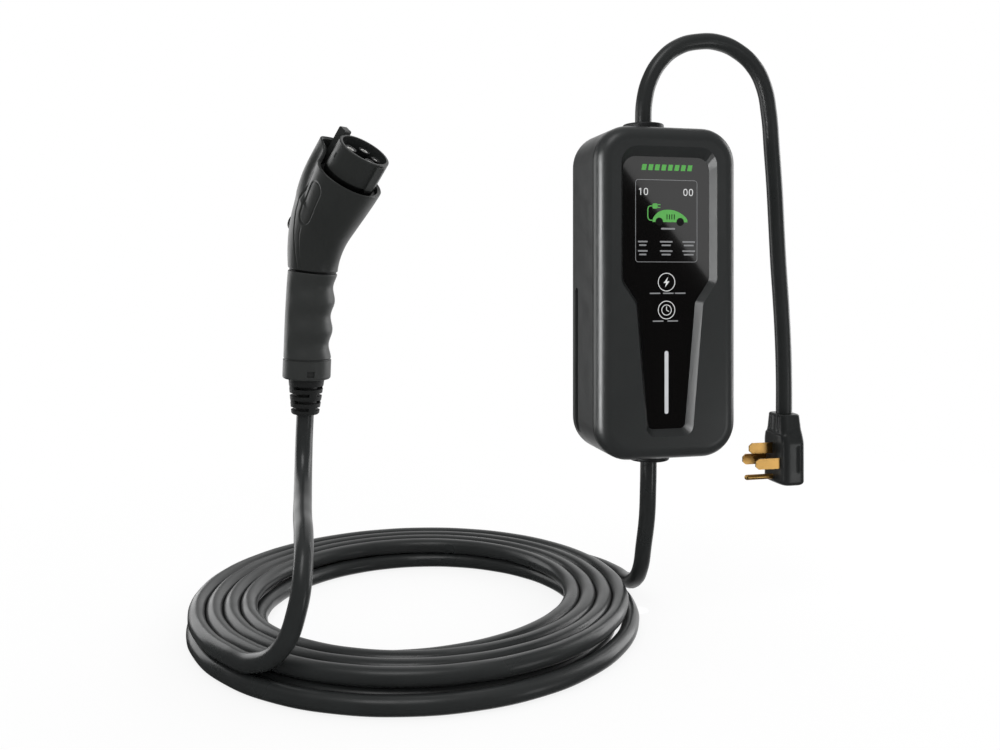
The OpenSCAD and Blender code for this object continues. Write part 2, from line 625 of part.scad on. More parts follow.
// Grip: round section with three finger hollows
function finger(t) = finger_depth * pow(sin(540 * t), 2);
grip_steps = concat([0, 0.01], [for (k = [1 : 17]) k / 18], [0.99, 1]);
function grip_ring(t) = let (r = grip_r - 0.8 * ease(1 - t) - (t == 0 || t == 1 ? edge_in : 0))
    ring(blend(s_grip, s_seam, t), [for (a = ring_angles) r - finger(t) * ease(limit(cos(a) * 1.4 + 0.3))]);
module grip_sleeve() color(soft_black) in_connector() shell_loft([for (t = grip_steps) grip_ring(t)],
    [for (t = grip_steps) ring(blend(s_grip, s_seam, t), [for (a = ring_angles) grip_r - shell_t - finger_depth])]);

// Collar at the grip's end, with a shallow window for the cap's catch
module end_collar() color(soft_black) in_connector() at_axis(relief_l) difference() {
    r = grip_r - 0.5;
    rotate_extrude() difference() {
        union() {
            square([r - 2, collar_l]);
            translate([0, 2]) square([r, collar_l - 3]);
            translate([r - 2, 2]) circle(2);
            translate([0, collar_l - 1.5]) square([r - 0.9, 1.5]);
        }
        translate([0, 3]) square([grip_r - shell_t - finger_depth, collar_l]);
        translate([0, -1]) square([cable_r + 4, collar_l]);
    }
    for (a = [8, 188]) rotate(a - connector_yaw - 90) translate([r - 2, -3, 3]) cube([5, 6, 5]);
}

// Strain relief: a tapered boot whose rings are joined by short bridges
relief_top_r = grip_r - 5.5;
relief_end_r = cable_r + 4.4;
relief_rings = 4;
module strain_relief() color(soft_black) in_connector() difference() {
    at_axis(0) rotate_extrude() polygon([[cable_r + fit, 0], [relief_end_r - 1, 0], [relief_end_r, 1], [relief_top_r, relief_l],
        [cable_r + 4 - fit, relief_l], [cable_r + 4 - fit, relief_l + 6], [cable_r + fit, relief_l + 6]]);
    at_axis(0) for (k = [0 : relief_rings - 1], q = [0, 1])
        translate([0, 0, 3.5 + k * (relief_l - 6) / relief_rings]) rotate(90 * k + 180 * q) rotate_extrude(angle = 150)
            translate([cable_r + 2, 0]) square([20, 2.6]);
}

// Clamp round the cable's jacket, inside the grip
clamp_s = s_grip + 14;
module cord_clamp() color(part_grey) in_connector() at_axis(clamp_s) difference() {
    cylinder(r = grip_r - shell_t - finger_depth - run, h = 10, center = true);
    cylinder(r = cable_r + fit, h = 12, center = true);
    for (s = [-1, 1]) translate([0, s * 12, 0]) cube([9, 4, 12], center = true);
}

// Five conductors from the jacket's end to the contacts
jacket_s = 70;
module connector_wires() color("#6b3a2a") in_connector()
    for (c = concat(power_at, earth_at, signal_at))
        tube(concat([for (s = [jacket_s + 1 : 14 : s_face + insert_back - 16]) let (k = blend(0.4, 0.7, (s - jacket_s) / (s_face - jacket_s)))
                space_point(s, -c[1] * k, c[0] * k)],
            [space_point(s_face, -c[1], c[0], insert_back - 8), space_point(s_face, -c[1], c[0], insert_back - 1.5)]), 1.8, 8);

// Barrel: round cup with a flange, a guide rib and the cheeks that carry the latch
cheek_y = latch_w / 2 + run;
shelf_x = -13;      // shelf under the latch's tail
rib_w = 8;          // guide rib along the barrel
rib_out = 1.6;
keying_w = 2.4;     // small keying hole in the barrel's side
tail_z = insert_back - tail_l;
module coupler_barrel() color(soft_black) in_connector() at_face() difference() {
    union() {
        rotate_extrude() difference() {
            union() {
                translate([0, insert_back]) square([barrel_r, -insert_back - 1]);
                translate([0, -2]) square([barrel_r - 1, 2]);
                translate([barrel_r - 1, -1]) circle(1);
                translate([0, flange_z - flange_t]) square([head_half(s_face + flange_z - flange_t) - shell_t - run, flange_t]);
            }
            translate([0, insert_back - 1]) square([barrel_r - barrel_wall, -insert_back + 2]);
        }
        translate([barrel_r - 1, -rib_w / 2, flange_z - eps]) cube([1 + rib_out, rib_w, -flange_z - 1.5]);
        for (s = [-1, 1]) translate([0, s * (cheek_y + cheek_t / 2), 0]) rotate([90, 0, 0]) linear_extrude(cheek_t, center = true)
            polygon([[-barrel_r + 1, flange_z - flange_t + eps], [pivot[0] - 4, flange_z - flange_t + eps], [pivot[0] - 4, pivot[1] - 2],
                [pivot[0] + 4, pivot[1] - 11], [shelf_x - 5, tail_z], [shelf_x + 2.5, tail_z],
                [shelf_x + 2.5, insert_back - 1], [-barrel_r + 1, insert_back - 1]]);
        translate([shelf_x, -cheek_y - cheek_t, tail_z]) cube([2.5, 2 * (cheek_y + cheek_t), insert_back - 1 - tail_z]);
    }
    translate([pivot[0], 0, pivot[1]]) rotate([90, 0, 0]) cylinder(r = pin_r, h = 3 * barrel_r, center = true);
    translate([-keying_w / 2 - 6, -barrel_r - 1, -barrel_cup - 4]) cube([keying_w, 1 + barrel_wall / 2, 2 * keying_w]);
}

// Insulator in the barrel, with one tower for each contact
tower_top = -4;
module towers(at, r) for (c = at) translate([-c[1], c[0], -barrel_cup - eps]) cylinder(r = r, h = barrel_cup + tower_top);
module contact_ways(at, r) for (c = at) translate([-c[1], c[0], insert_back - 1]) cylinder(r = r, h = 1 - insert_back);
power_r = 3.2;
earth_r = 2.8;
signal_r = 2;
module contact_insert() color("#1d1e1e") in_connector() at_face() difference() {
    union() {
        translate([0, 0, insert_back]) cylinder(r = barrel_r - barrel_wall - fit, h = -insert_back - barrel_cup);
        towers(power_at, power_r + 1.8);
        towers(earth_at, earth_r + 1.8);
        towers(signal_at, signal_r + 1.8);
    }
    contact_ways(power_at, power_r + fit);
    contact_ways(earth_at, earth_r + fit);
    contact_ways(signal_at, signal_r + fit);
}

// Socket contacts: a split tube at the front and a closed end at the back
module contacts(at, r, bore) color("#c9b27a") in_connector() at_face() for (c = at) translate([-c[1], c[0], 0]) difference() {
    translate([0, 0, insert_back - 1.5]) cylinder(r = r, h = -insert_back + 1.5 + tower_top - 0.6);
    translate([0, 0, tower_top - 22]) cylinder(r = bore, h = 30);
}
module power_contacts() contacts(power_at, power_r, 1.9);
module earth_contact() contacts(earth_at, earth_r, 1.5);
module signal_contacts() contacts(signal_at, signal_r, 0.85);

// Latch: a rocker on a pin, with a hook over the barrel and a tail under the thumb button
hook_top = 1.5;
hook_foot = -5.5;
hook_in = -barrel_r - 2.2;
arm_in = pivot[0] - 0.5;                            // side of the arm towards the barrel
function face_side(x, z) = side_point(s_face, x, z);
button_in = head_conv(s_button) - shell_t - 7;      // inner end of the button's stem, from the axis
function tail_pad(depth, z) = side_point(s_button, -button_in + run + depth, z);
module latch_lever() color(soft_black) in_connector() difference() {
    rotate([90, 0, 0]) linear_extrude(latch_w, center = true) {
        polygon([face_side(pivot[0] + 3, pivot[1] - 2), face_side(arm_in, flange_z), face_side(arm_in, hook_foot),
            face_side(hook_in, hook_foot), face_side(hook_in, hook_top - 0.8), face_side(hook_in - 0.8, hook_top),
            face_side(arm_in - hook_t + 0.8, hook_top), face_side(arm_in - hook_t, hook_top - 0.8),
            face_side(arm_in - hook_t, flange_z), face_side(pivot[0] - 4, pivot[1] - 2)]);
        translate(face_side(pivot[0], pivot[1])) circle(4.6);
        polygon([face_side(pivot[0] - 3.6, pivot[1] + 2), tail_pad(0, 4.5), tail_pad(0, -4.5), tail_pad(3.2, -4.5),
            face_side(pivot[0] + 3.2, pivot[1] + 1)]);
    }
    in_face_pin(pin_r + fit);
}
module in_face_pin(r) at_face() translate([pivot[0], 0, pivot[1]]) rotate([90, 0, 0]) cylinder(r = r, h = 40, center = true);

module latch_pin() color("#b8bbc0") in_connector() at_face() translate([pivot[0], 0, pivot[1]]) rotate([90, 0, 0])
    cylinder(r = pin_r, h = 2 * (cheek_y + cheek_t), center = true);

// Coil spring between the shelf and the latch's tail
spring_z = insert_back - 15;
spring_l = 7.5;
spring_r = 2.6;
spring_turns = 4;
module latch_spring() color("#c7c9cc") in_connector() at_face() translate([shelf_x, 0, spring_z]) rotate([0, -90, 0])
    tube([for (k = [0 : 12 * spring_turns])
        [spring_r * cos(30 * k), spring_r * sin(30 * k), 0.5 + k * (spring_l - 1) / (12 * spring_turns)]], 0.4, 6);

// Thumb button: a domed cap on a stem that bears on the latch's tail
button_out = 4;     // height of the dome above the head
module release_button() color("#202121") in_connector() at_axis(s_button) rotate([0, -90, 0]) {
    top = head_conv(s_button) + button_out;
    translate([0, 0, button_in]) cylinder(r = stem_w / 2, h = 6);
    translate([0, 0, button_in + 0.9]) cylinder(r = button_r + 1.2, h = 1.2);
    translate([0, 0, button_in + 2]) cylinder(r = button_r, h = top - button_in - 2 - 2.5);
    translate([0, 0, top - 2.5]) intersection() {
        cylinder(r = button_r, h = 2.5);
        translate([0, 0, 2.5 - 17]) sphere(17);
    }
}

module proximity_switch() color("#303338") in_connector() at_face()
    translate([shelf_x - 4, cheek_y + cheek_t, tail_z + 1]) cube([6.5, 5.5, 11]);

// Mains plug: prongs point to -X and the lead enters from above
module plug_outline(inset) polygon(rounded([
    [-plug_w / 2 + inset, -plug_h + inset, 8], [plug_w / 2 - inset, -plug_h + inset, 8],
    [plug_w / 2 - inset, -neck_l - inset, 4], [-plug_w / 2 + inset, -neck_l - inset, 4]]));
module at_plug() translate(plug_at) children();
module plug_body() color("#2c2c2c") at_plug() difference() {
    union() {
        rotate([90, 0, 90]) hull() {
            linear_extrude(plug_t - 2 * plug_bevel, center = true) plug_outline(0);
            linear_extrude(plug_t, center = true) plug_outline(plug_bevel);
        }
        hull() {
            translate([0, 0, -1]) linear_extrude(1) rounded_rect(plug_t - 4, neck_w, 4);
            translate([0, 0, -neck_l - 9]) linear_extrude(1) rounded_rect(plug_t - 1.4, neck_w + 5, 5);
        }
    }
    translate([0, 0, -11]) cylinder(r = cable_r + fit, h = 20);
    prong_pockets();
}
module prong_pockets() {
    for (s = [-1, 1]) flat_prong(s * live_pitch / 2, live_drop);
    flat_prong(0, neutral_drop);
    round_prong();
}

// Flat prong with chamfered tip, at y and at a depth below the plug's top
module flat_prong(y, drop) translate([plug_face_x(), y, -drop]) rotate([90, 0, 0]) linear_extrude(prong_t, center = true)
    polygon([[prong_root, -prong_h / 2], [prong_root, prong_h / 2], [3 - prong_l, prong_h / 2], [-prong_l, prong_h / 2 - 2.5],
        [-prong_l, 2.5 - prong_h / 2], [3 - prong_l, -prong_h / 2]]);
function plug_face_x() = -plug_t / 2;
module round_prong() translate([plug_face_x() + prong_root, 0, -earth_drop]) rotate([0, -90, 0]) rotate_extrude() {
    square([earth_d / 2, prong_root + prong_l + 2]);
    translate([0, prong_root + prong_l + 2 - eps]) intersection() {
        circle(earth_d / 2);
        square(earth_d);
    }
}
module live_prongs() color(brass) at_plug() for (s = [-1, 1]) flat_prong(s * live_pitch / 2, live_drop);
module neutral_prong() color(brass) at_plug() flat_prong(0, neutral_drop);
module earth_prong() color(brass) at_plug() round_prong();

// Cables
module mains_lead() color(soft_black) tube(mains_route, cable_r);
module cable_drop() color(soft_black) tube(drop_route, cable_r);
module cable_riser() color(soft_black) tube(riser_route, cable_r);

// Outer shape of the coil's two layers of turns
module cable_coil() color(soft_black) translate([coil_at[0], coil_at[1], coil_z]) rotate_extrude() {
    for (r = [coil_inner_r, coil_r], z = [cable_r, 3 * cable_r]) translate([r, z]) circle(cable_r);
    translate([coil_inner_r, 0]) square([coil_r - coil_inner_r, 4 * cable_r]);
    translate([coil_inner_r - cable_r, cable_r]) square([coil_r - coil_inner_r + 2 * cable_r, 2 * cable_r]);
}

rear_housing();
front_housing();
housing_gasket();
touch_panel();
display_module();
display_board();
display_ribbon();
touch_springs();
status_light();
main_board();
power_relays();
leakage_sensor();
supply_transformer();
supply_capacitors();
fuse_holder();
buzzer();
mains_terminal_block();
output_terminal_block();
mains_wires();
output_wires();
mains_gland();
output_gland();
mains_gland_nut();
output_gland_nut();
housing_screws();
board_screws();
connector_head();
grip_sleeve();
end_collar();
strain_relief();
cord_clamp();
connector_wires();
coupler_barrel();
contact_insert();
power_contacts();
earth_contact();
signal_contacts();
latch_lever();
latch_pin();
latch_spring();
release_button();
proximity_switch();
plug_body();
live_prongs();
neutral_prong();
earth_prong();
mains_lead();
cable_drop();
cable_coil();
cable_riser();
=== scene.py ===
"""Portable charger for electric cars: control box, vehicle connector, mains plug and coiled cable."""

import math

import bpy
import numpy as np
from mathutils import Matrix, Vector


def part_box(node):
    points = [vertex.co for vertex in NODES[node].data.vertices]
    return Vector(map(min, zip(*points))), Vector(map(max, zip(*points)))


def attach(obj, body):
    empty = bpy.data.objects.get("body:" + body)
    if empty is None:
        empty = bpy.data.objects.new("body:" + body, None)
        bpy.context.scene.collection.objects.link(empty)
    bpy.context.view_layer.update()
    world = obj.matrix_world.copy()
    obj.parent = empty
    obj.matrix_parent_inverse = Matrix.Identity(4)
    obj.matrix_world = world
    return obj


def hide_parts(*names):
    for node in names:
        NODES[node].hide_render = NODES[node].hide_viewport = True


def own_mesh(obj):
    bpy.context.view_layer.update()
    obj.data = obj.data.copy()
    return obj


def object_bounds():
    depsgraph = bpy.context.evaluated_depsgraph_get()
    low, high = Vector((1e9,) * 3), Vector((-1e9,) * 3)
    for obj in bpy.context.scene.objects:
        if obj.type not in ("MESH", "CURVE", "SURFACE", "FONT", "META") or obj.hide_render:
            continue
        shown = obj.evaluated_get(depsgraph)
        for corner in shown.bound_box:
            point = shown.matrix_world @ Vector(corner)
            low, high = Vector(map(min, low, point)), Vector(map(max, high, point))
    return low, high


bl_info = {
    "name": "Portable car charger",
    "version": (1, 0, 0),
    "blender": (4, 5, 0),
    "location": "View3D > Sidebar > Charger",
    "description": "Dresses a portable car charger with its finishes, prints and cables",
    "category": "Object",
}

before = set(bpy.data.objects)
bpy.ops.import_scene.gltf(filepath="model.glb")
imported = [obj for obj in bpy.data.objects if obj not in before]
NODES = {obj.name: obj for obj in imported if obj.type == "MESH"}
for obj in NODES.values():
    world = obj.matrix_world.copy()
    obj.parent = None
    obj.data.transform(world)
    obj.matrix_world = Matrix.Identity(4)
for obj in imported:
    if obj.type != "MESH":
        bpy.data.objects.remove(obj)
CAD_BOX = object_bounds()
MM = 0.001
SHARP_ANGLE = math.radians(35)
SENSOR_WIDTH = 36.0


def tone(code):
    """Linear colour of a screen colour code: each channel over 255, raised through the screen's curve."""
    screen = np.array([int(code[k : k + 2], 16) for k in (1, 3, 5)]) / 255.0
    linear = np.where(screen <= 0.04045, screen / 12.92, ((screen + 0.055) / 1.055) ** 2.4)
    return tuple(float(v) for v in linear)


def tint(label, words, code):
    """A colour that a user can pick."""
    return bpy.props.FloatVectorProperty(
        name=label, description=words, subtype="COLOR", size=3, min=0.0, max=1.0, default=tone(code)
    )


def size(label, words, millimetres):
    """A length that a user can change, given in millimetres and kept in metres."""
    return bpy.props.FloatProperty(name=label, description=words, unit="LENGTH", default=millimetres * MM)


def place_setting(label, words, millimetres):
    """A point that a user can move, given in millimetres and kept in metres."""
    place = tuple(v * MM for v in millimetres)
    return bpy.props.FloatVectorProperty(
        name=label, description=words, subtype="TRANSLATION", unit="LENGTH", default=place
    )


def angle_setting(label, words, degrees):
    """An angle that a user can change, given in degrees and kept in radians."""
    return bpy.props.FloatProperty(
        name=label, description=words, subtype="ANGLE", default=math.radians(degrees)
    )


# Routes of the cables in millimetres, the same points as those of the solids that the cables replace
MAINS_ROUTE = [
    (-5, -26, 122), (-5, -26, 148), (-4, -26, 168), (1, -26, 187), (12, -26, 205), (28, -26, 218),
    (48, -26, 224), (68, -26, 224), (87, -26, 217), (102, -27, 204), (112, -27, 186), (117, -27, 162),
    (120, -27, 128), (122, -28, 95), (124, -28, 60), (126, -28, 25), (128, -29, -10), (130, -29, -45),
    (131, -29, -80), (131, -29, -111), (131, -29, -122),
]
DROP_ROUTE = [
    (0, -26, -122), (0, -26, -148), (0, -25, -172), (1, -20, -200), (2, -10, -228), (5, 5, -253),
    (8, 27, -271), (10, 53, -280), (9, 82, -282), (-1, 112, -282), (-21, 140, -282), (-50, 165, -282),
    (-84, 184, -282),
]
RISER_ROUTE = [
    (-293, 6, -32), (-295, 8, -70), (-296, 9, -102), (-297, 6, -125), (-298, -7, -148),
    (-299, -30, -163), (-300, -60, -171), (-300, -90, -178), (-301, -113, -194), (-305, -124, -219),
    (-316, -118, -249), (-337, -95, -267), (-354, -73, -268),
]

# Moulded finishes: colour, roughness, grain size and grain depth in millimetres, and the solids
BOX_PLASTICS = {
    "seal rubber": ("#121313", 0.6, 0.3, 0.01, ["housing_gasket"]),
    "gland rubber": ("#1f2122", 0.5, 0.3, 0.015, ["mains_gland", "output_gland"]),
}
INNER_PLASTICS = {
    "ribbon film": ("#b98a3c", 0.4, 0.6, 0.01, ["display_ribbon"]),
    "relay case": ("#3b3e44", 0.4, 0.4, 0.01, ["power_relays", "buzzer", "proximity_switch"]),
    "capacitor sleeve": ("#22304f", 0.3, 0.5, 0.005, ["supply_capacitors"]),
    "fuse body": ("#d8d4c6", 0.35, 0.4, 0.01, ["fuse_holder"]),
    "terminal plastic": ("#3f7a4b", 0.45, 0.4, 0.01, ["mains_terminal_block", "output_terminal_block"]),
    "wire sleeve": ("#6b3a2a", 0.4, 0.3, 0.01, ["mains_wires", "output_wires", "connector_wires"]),
    "nut plastic": ("#2a2c2e", 0.5, 0.4, 0.01, ["mains_gland_nut", "output_gland_nut", "cord_clamp"]),
}
CONNECTOR_PLASTICS = {
    "boot rubber": ("#232525", 0.55, 0.3, 0.03, ["strain_relief"]),
    "button plastic": ("#1d1e1e", 0.45, 0.4, 0.02, ["release_button"]),
    "insert plastic": ("#141515", 0.45, 0.4, 0.02, ["contact_insert"]),
}

# Metal finishes: colour, roughness, stretch of the scratches along the axes, and the solids
INNER_METALS = {
    "winding copper": ("#b87333", 0.35, (1, 1, 8), ["leakage_sensor", "supply_transformer"]),
    "screw steel": ("#b9bcc0", 0.3, (1, 8, 1), ["housing_screws", "board_screws"]),
    "spring steel": ("#c7c9cc", 0.25, (1, 1, 6), ["touch_springs", "latch_pin"]),
}


class BoxSettings(bpy.types.PropertyGroup):
    """Sizes and colours of the control box."""

    housing_colour: tint("Housing", "Colour of both housing halves", "#2d2f2f")
    panel_colour: tint("Panel", "Colour of the glossy panel", "#060505")
    green_ink: tint("Green print", "Colour of the lit green signs", "#55a34d")
    white_ink: tint("White print", "Colour of the lit figures and key rings", "#dcdddd")
    grey_ink: tint("Grey print", "Colour of the frame line and short bars", "#8b8c8e")
    light_colour: tint("Status light", "Colour of the light bar", "#c9cbcd")
    print_lift: size("Print lift", "Height of the prints over the panel", 0.06)
    frame_width: size("Frame width", "Width of the display's frame line", 55.6)
    frame_height: size("Frame height", "Height of the display's frame line", 69)
    frame_middle: size("Frame middle", "Height of the frame's middle over the box's middle", 60.5)
    upper_key: size("Upper key", "Height of the upper touch key over the box's middle", 9)
    lower_key: size("Lower key", "Height of the lower touch key over the box's middle", -14.5)
    key_radius: size("Key radius", "Radius of the rings round both touch keys", 7.5)


class ConnectorSettings(bpy.types.PropertyGroup):
    """Sizes and colours of the vehicle connector. Places are distances along its axis."""

    shell_colour: tint("Shell", "Colour of the hard shells", "#2c2e2d")
    grip_colour: tint("Grip", "Colour of the soft grip", "#343635")
    start: place_setting("Start", "End of the strain relief, where the axis starts", (-296, 9, -102))
    turn: angle_setting("Turn", "Turn about the upright", -48.5)
    grip_start: size("Grip start", "Place of the grip's lower end", 47)
    seam: size("Seam", "Place of the seam between grip and head", 121)
    knee: size("Knee", "Place where the bend ends", 164)
    mouth: size("Mouth", "Place of the head's mouth", 215)
    face: size("Face", "Place of the barrel's face", 236)
    # The barrel's dark foot ring below this place is painted shade, in place of the shade in the gap between
    # barrel and rim.
    painted_shade_end: size("Ring end", "Place where the barrel's dark foot ring ends", 212.5)
    wall: size("Shell wall", "Thickness of the shells", 3)
    grip_radius: size("Grip radius", "Half the grip's width", 20.5)
    finger_depth: size("Finger depth", "Depth of the three finger hollows", 2.4)
    seam_gap: size("Seam gap", "Half the open gap between head and grip", 0.9)
    mouth_radius: size("Mouth radius", "Half the head's width at its mouth", 28.5)
    mouth_back: size("Mouth back", "How far the rim stays behind the mouth", 5)
    hood_reach: size("Hood reach", "Reach of the hood over the latch", 42)
    hood_half: size("Hood half width", "Half the width of the hood at the mouth", 14)
    hood_lap: size("Hood lap", "How far the hood stands out past the mouth", 6)
    button_place: size("Button place", "Place of the button's axis", 150)
    button_hole: size("Button hole", "Radius of the button's hole", 8.8)
    pad_depth: size("Pad depth", "Depth of the sunken pad on each side", 0.6)
    ledge_depth: size("Ledge depth", "Depth of the lines down from the hood", 0.6)


class PlugSettings(bpy.types.PropertyGroup):
    """Sizes and colours of the mains plug."""

    body_colour: tint("Body", "Colour of the moulded body", "#262828")
    prong_colour: tint("Prongs", "Colour of the brass prongs", "#dcae66")
    place: place_setting("Place", "Middle of the plug's top, where the lead enters", (131, -29, -111))
    width: size("Width", "Width of the body across the prongs", 38)
    thickness: size("Thickness", "Thickness of the body along the prongs", 24)
    height: size("Height", "Height of the body with its neck", 63)
    neck: size("Neck", "Length of the narrower neck", 17)
    neck_width: size("Neck width", "Width of the neck at its top", 26)
    flute_depth: size("Flute depth", "Depth of the flutes on the neck", 0.9)
    groove_depth: size("Groove depth", "Depth of the two finger grooves on each side", 0.9)


class CableSettings(bpy.types.PropertyGroup):
    """Sizes and colours of the two cables."""

    jacket_colour: tint("Jacket", "Colour of both cable jackets", "#2b2d2d")
    diameter: size("Diameter", "Diameter of both cables", 14.5)
    coil_x: size("Coil across", "Place of the coil's middle from left to right", -197)
    coil_y: size("Coil depth", "Place of the coil's middle from front to back", 32)
    coil_radius: size("Coil radius", "Radius of the outermost turn at its middle", 189)
    coil_inner: size("Coil inner radius", "Radius of the innermost turn at its middle", 137)


class StageSettings(bpy.types.PropertyGroup):
    """Camera and floor."""

    floor_colour: tint("Floor", "Colour of the pale floor", "#ffffff")
    camera_place: place_setting("Camera", "Place of the camera", (-319.2, -793.4, 15))
    camera_turn: angle_setting("Camera turn", "Turn of the level camera to the right", 13.5)
    lens: bpy.props.FloatProperty(
        name="Lens", description="Focal length in millimetres", unit="CAMERA", default=33.44
    )
    shift: bpy.props.FloatProperty(
        name="Shift", description="Upright shift as a share of the picture's width", default=-0.1
    )


# Shapes
def ease(t):
    """Smooth step: 3 t squared less 2 t cubed, flat outside the range from 0 to 1."""
    t = np.clip(t, 0.0, 1.0)
    return t * t * (3.0 - 2.0 * t)


def bump_at(value, centre, width):
    """Smooth hill: 1 at the centre and 0 from a width away, by a smooth step on both sides."""
    return ease(1.0 - np.abs(value - centre) / width)


def signed_power(value, power):
    """The size of a value raised to a power, with the value's sign: superellipses are made of it."""
    return np.sign(value) * np.abs(value) ** power


def circle(count):
    """Angles of a full turn in that many equal steps, in radians."""
    return np.radians(np.linspace(0, 360, count + 1)[:-1])


def grid_faces(rows, columns, around, along):
    """Quads of a grid of rows and columns, closed around the columns or along the rows where asked."""
    index = np.arange(rows * columns).reshape(rows, columns)
    if around:
        index = np.concatenate([index, index[:, :1]], axis=1)
    if along:
        index = np.concatenate([index, index[:1]], axis=0)
    corners = [index[:-1, :-1], index[:-1, 1:], index[1:, 1:], index[1:, :-1]]
    return np.stack(corners, axis=-1).reshape(-1, 4)


def fan(ring):
    """Triangles of a flat ring of points: its first point with each pair of neighbours."""
    return np.stack([np.full(len(ring) - 2, ring[0]), ring[1:-1], ring[2:]], axis=1)


def mesh_of(name, patches, outward=None):
    """One mesh of several patches (points[row, column], around, along, caps), with quads between neighbours.

    A closed patch is turned by the sign of its volume, the sum of a.(b x c) over its triangles, and an
    open one so that it faces along outward."""
    points, faces, first = [], [], 0
    for grid, around, along, caps in patches:
        rows, columns = grid.shape[:2]
        flat = grid.reshape(-1, 3)
        quads = grid_faces(rows, columns, around, along)
        ends = [np.arange(columns)[::-1], np.arange(columns) + (rows - 1) * columns] if caps else []
        triangles = np.concatenate([quads[:, [0, 1, 2]], quads[:, [0, 2, 3]], *(fan(end) for end in ends)])
        a, b, c = flat[triangles].transpose(1, 0, 2)
        if outward is None:
            amount = np.einsum("ij,ij->i", a, np.cross(b, c)).sum()
        else:
            amount = np.cross(b - a, c - a).sum(axis=0) @ np.array(outward)
        turn = 1 if amount > 0 else -1
        faces += (quads[:, ::turn] + first).tolist() + [(end[::turn] + first).tolist() for end in ends]
        points.append(flat)
        first += rows * columns
    mesh = bpy.data.meshes.new(name)
    mesh.from_pydata(np.concatenate(points).tolist(), [], faces)
    mesh.update()
    return mesh


def closed_shell(name, grid):
    """Mesh of one patch that is closed both ways, as a ring or a hollow shell is."""
    return mesh_of(name, [(grid, True, True, False)])


def capped_tube(name, grid):
    """Mesh of one patch that is closed around and has a cap at each end."""
    return mesh_of(name, [(grid, True, False, True)])


def put(name, data):
    """New object of that data at the origin of the scene."""
    item = bpy.data.objects.new(name, data)
    bpy.context.scene.collection.objects.link(item)
    return item


def bored(mesh, cutter):
    """Mesh with a closed cutter's shape taken out of it, by a Boolean modifier that is applied at once."""
    whole, tool = put(mesh.name, mesh), put(cutter.name, cutter)
    cut = whole.modifiers.new("bore", "BOOLEAN")
    cut.operation, cut.solver, cut.object = "DIFFERENCE", "EXACT", tool
    made = bpy.data.meshes.new_from_object(whole.evaluated_get(bpy.context.evaluated_depsgraph_get()))
    for item in (whole, tool):
        bpy.data.objects.remove(item)
    return made


def add_piece(name, data, slot, material, *solids):
    """Object of a mesh or curve that rides on the charger, in place of the solids that it stands for."""
    piece = put(name, data)
    if piece.type == "MESH":
        data.shade_smooth()
        data.set_sharp_from_angle(angle=SHARP_ANGLE)
    data.materials.append(material)
    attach(piece, "charger")
    if solids:
        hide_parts(*solids)
    return piece


# Finishes
def opaque(colour, share=1.0):
    """Colour with full opacity, each channel times a share and at most 1."""
    return (*(min(v * share, 1.0) for v in colour), 1.0)


class NodeTree:
    """A node tree, with short calls for the nodes that the finishes and the surroundings share."""

    def __init__(self, tree):
        self.tree = tree

    def fill(self, node, sockets):
        """Gives each named socket a plain value, or a link where the value is another node's output."""
        for key, value in sockets.items():
            if isinstance(value, bpy.types.NodeSocket):
                self.tree.links.new(value, node.inputs[key])
            else:
                node.inputs[key].default_value = value
        return node

    def add(self, kind, sockets=None, **settings):
        """New node of a kind, with its settings made and its sockets filled."""
        node = self.tree.nodes.new("ShaderNode" + kind)
        for key, value in settings.items():
            setattr(node, key, value)
        return self.fill(node, sockets or {})

    def math(self, operation, first, second):
        """Sum, product or the like of two values."""
        return self.add("Math", {0: first, 1: second}, operation=operation).outputs["Value"]

    def ramp(self, value, low, high, start=0.3, end=0.7):
        """Value mapped from the range start to end into the range low to high."""
        limits = {"From Min": start, "From Max": end, "To Min": low, "To Max": high}
        return self.add("MapRange", {"Value": value, **limits}).outputs["Result"]

    def mix(self, factor, first, second):
        """Colour that goes from the first to the second as the factor goes from 0 to 1."""
        sockets = {"Factor": factor, "A": first, "B": second}
        return self.add("Mix", sockets, data_type="RGBA").outputs["Result"]


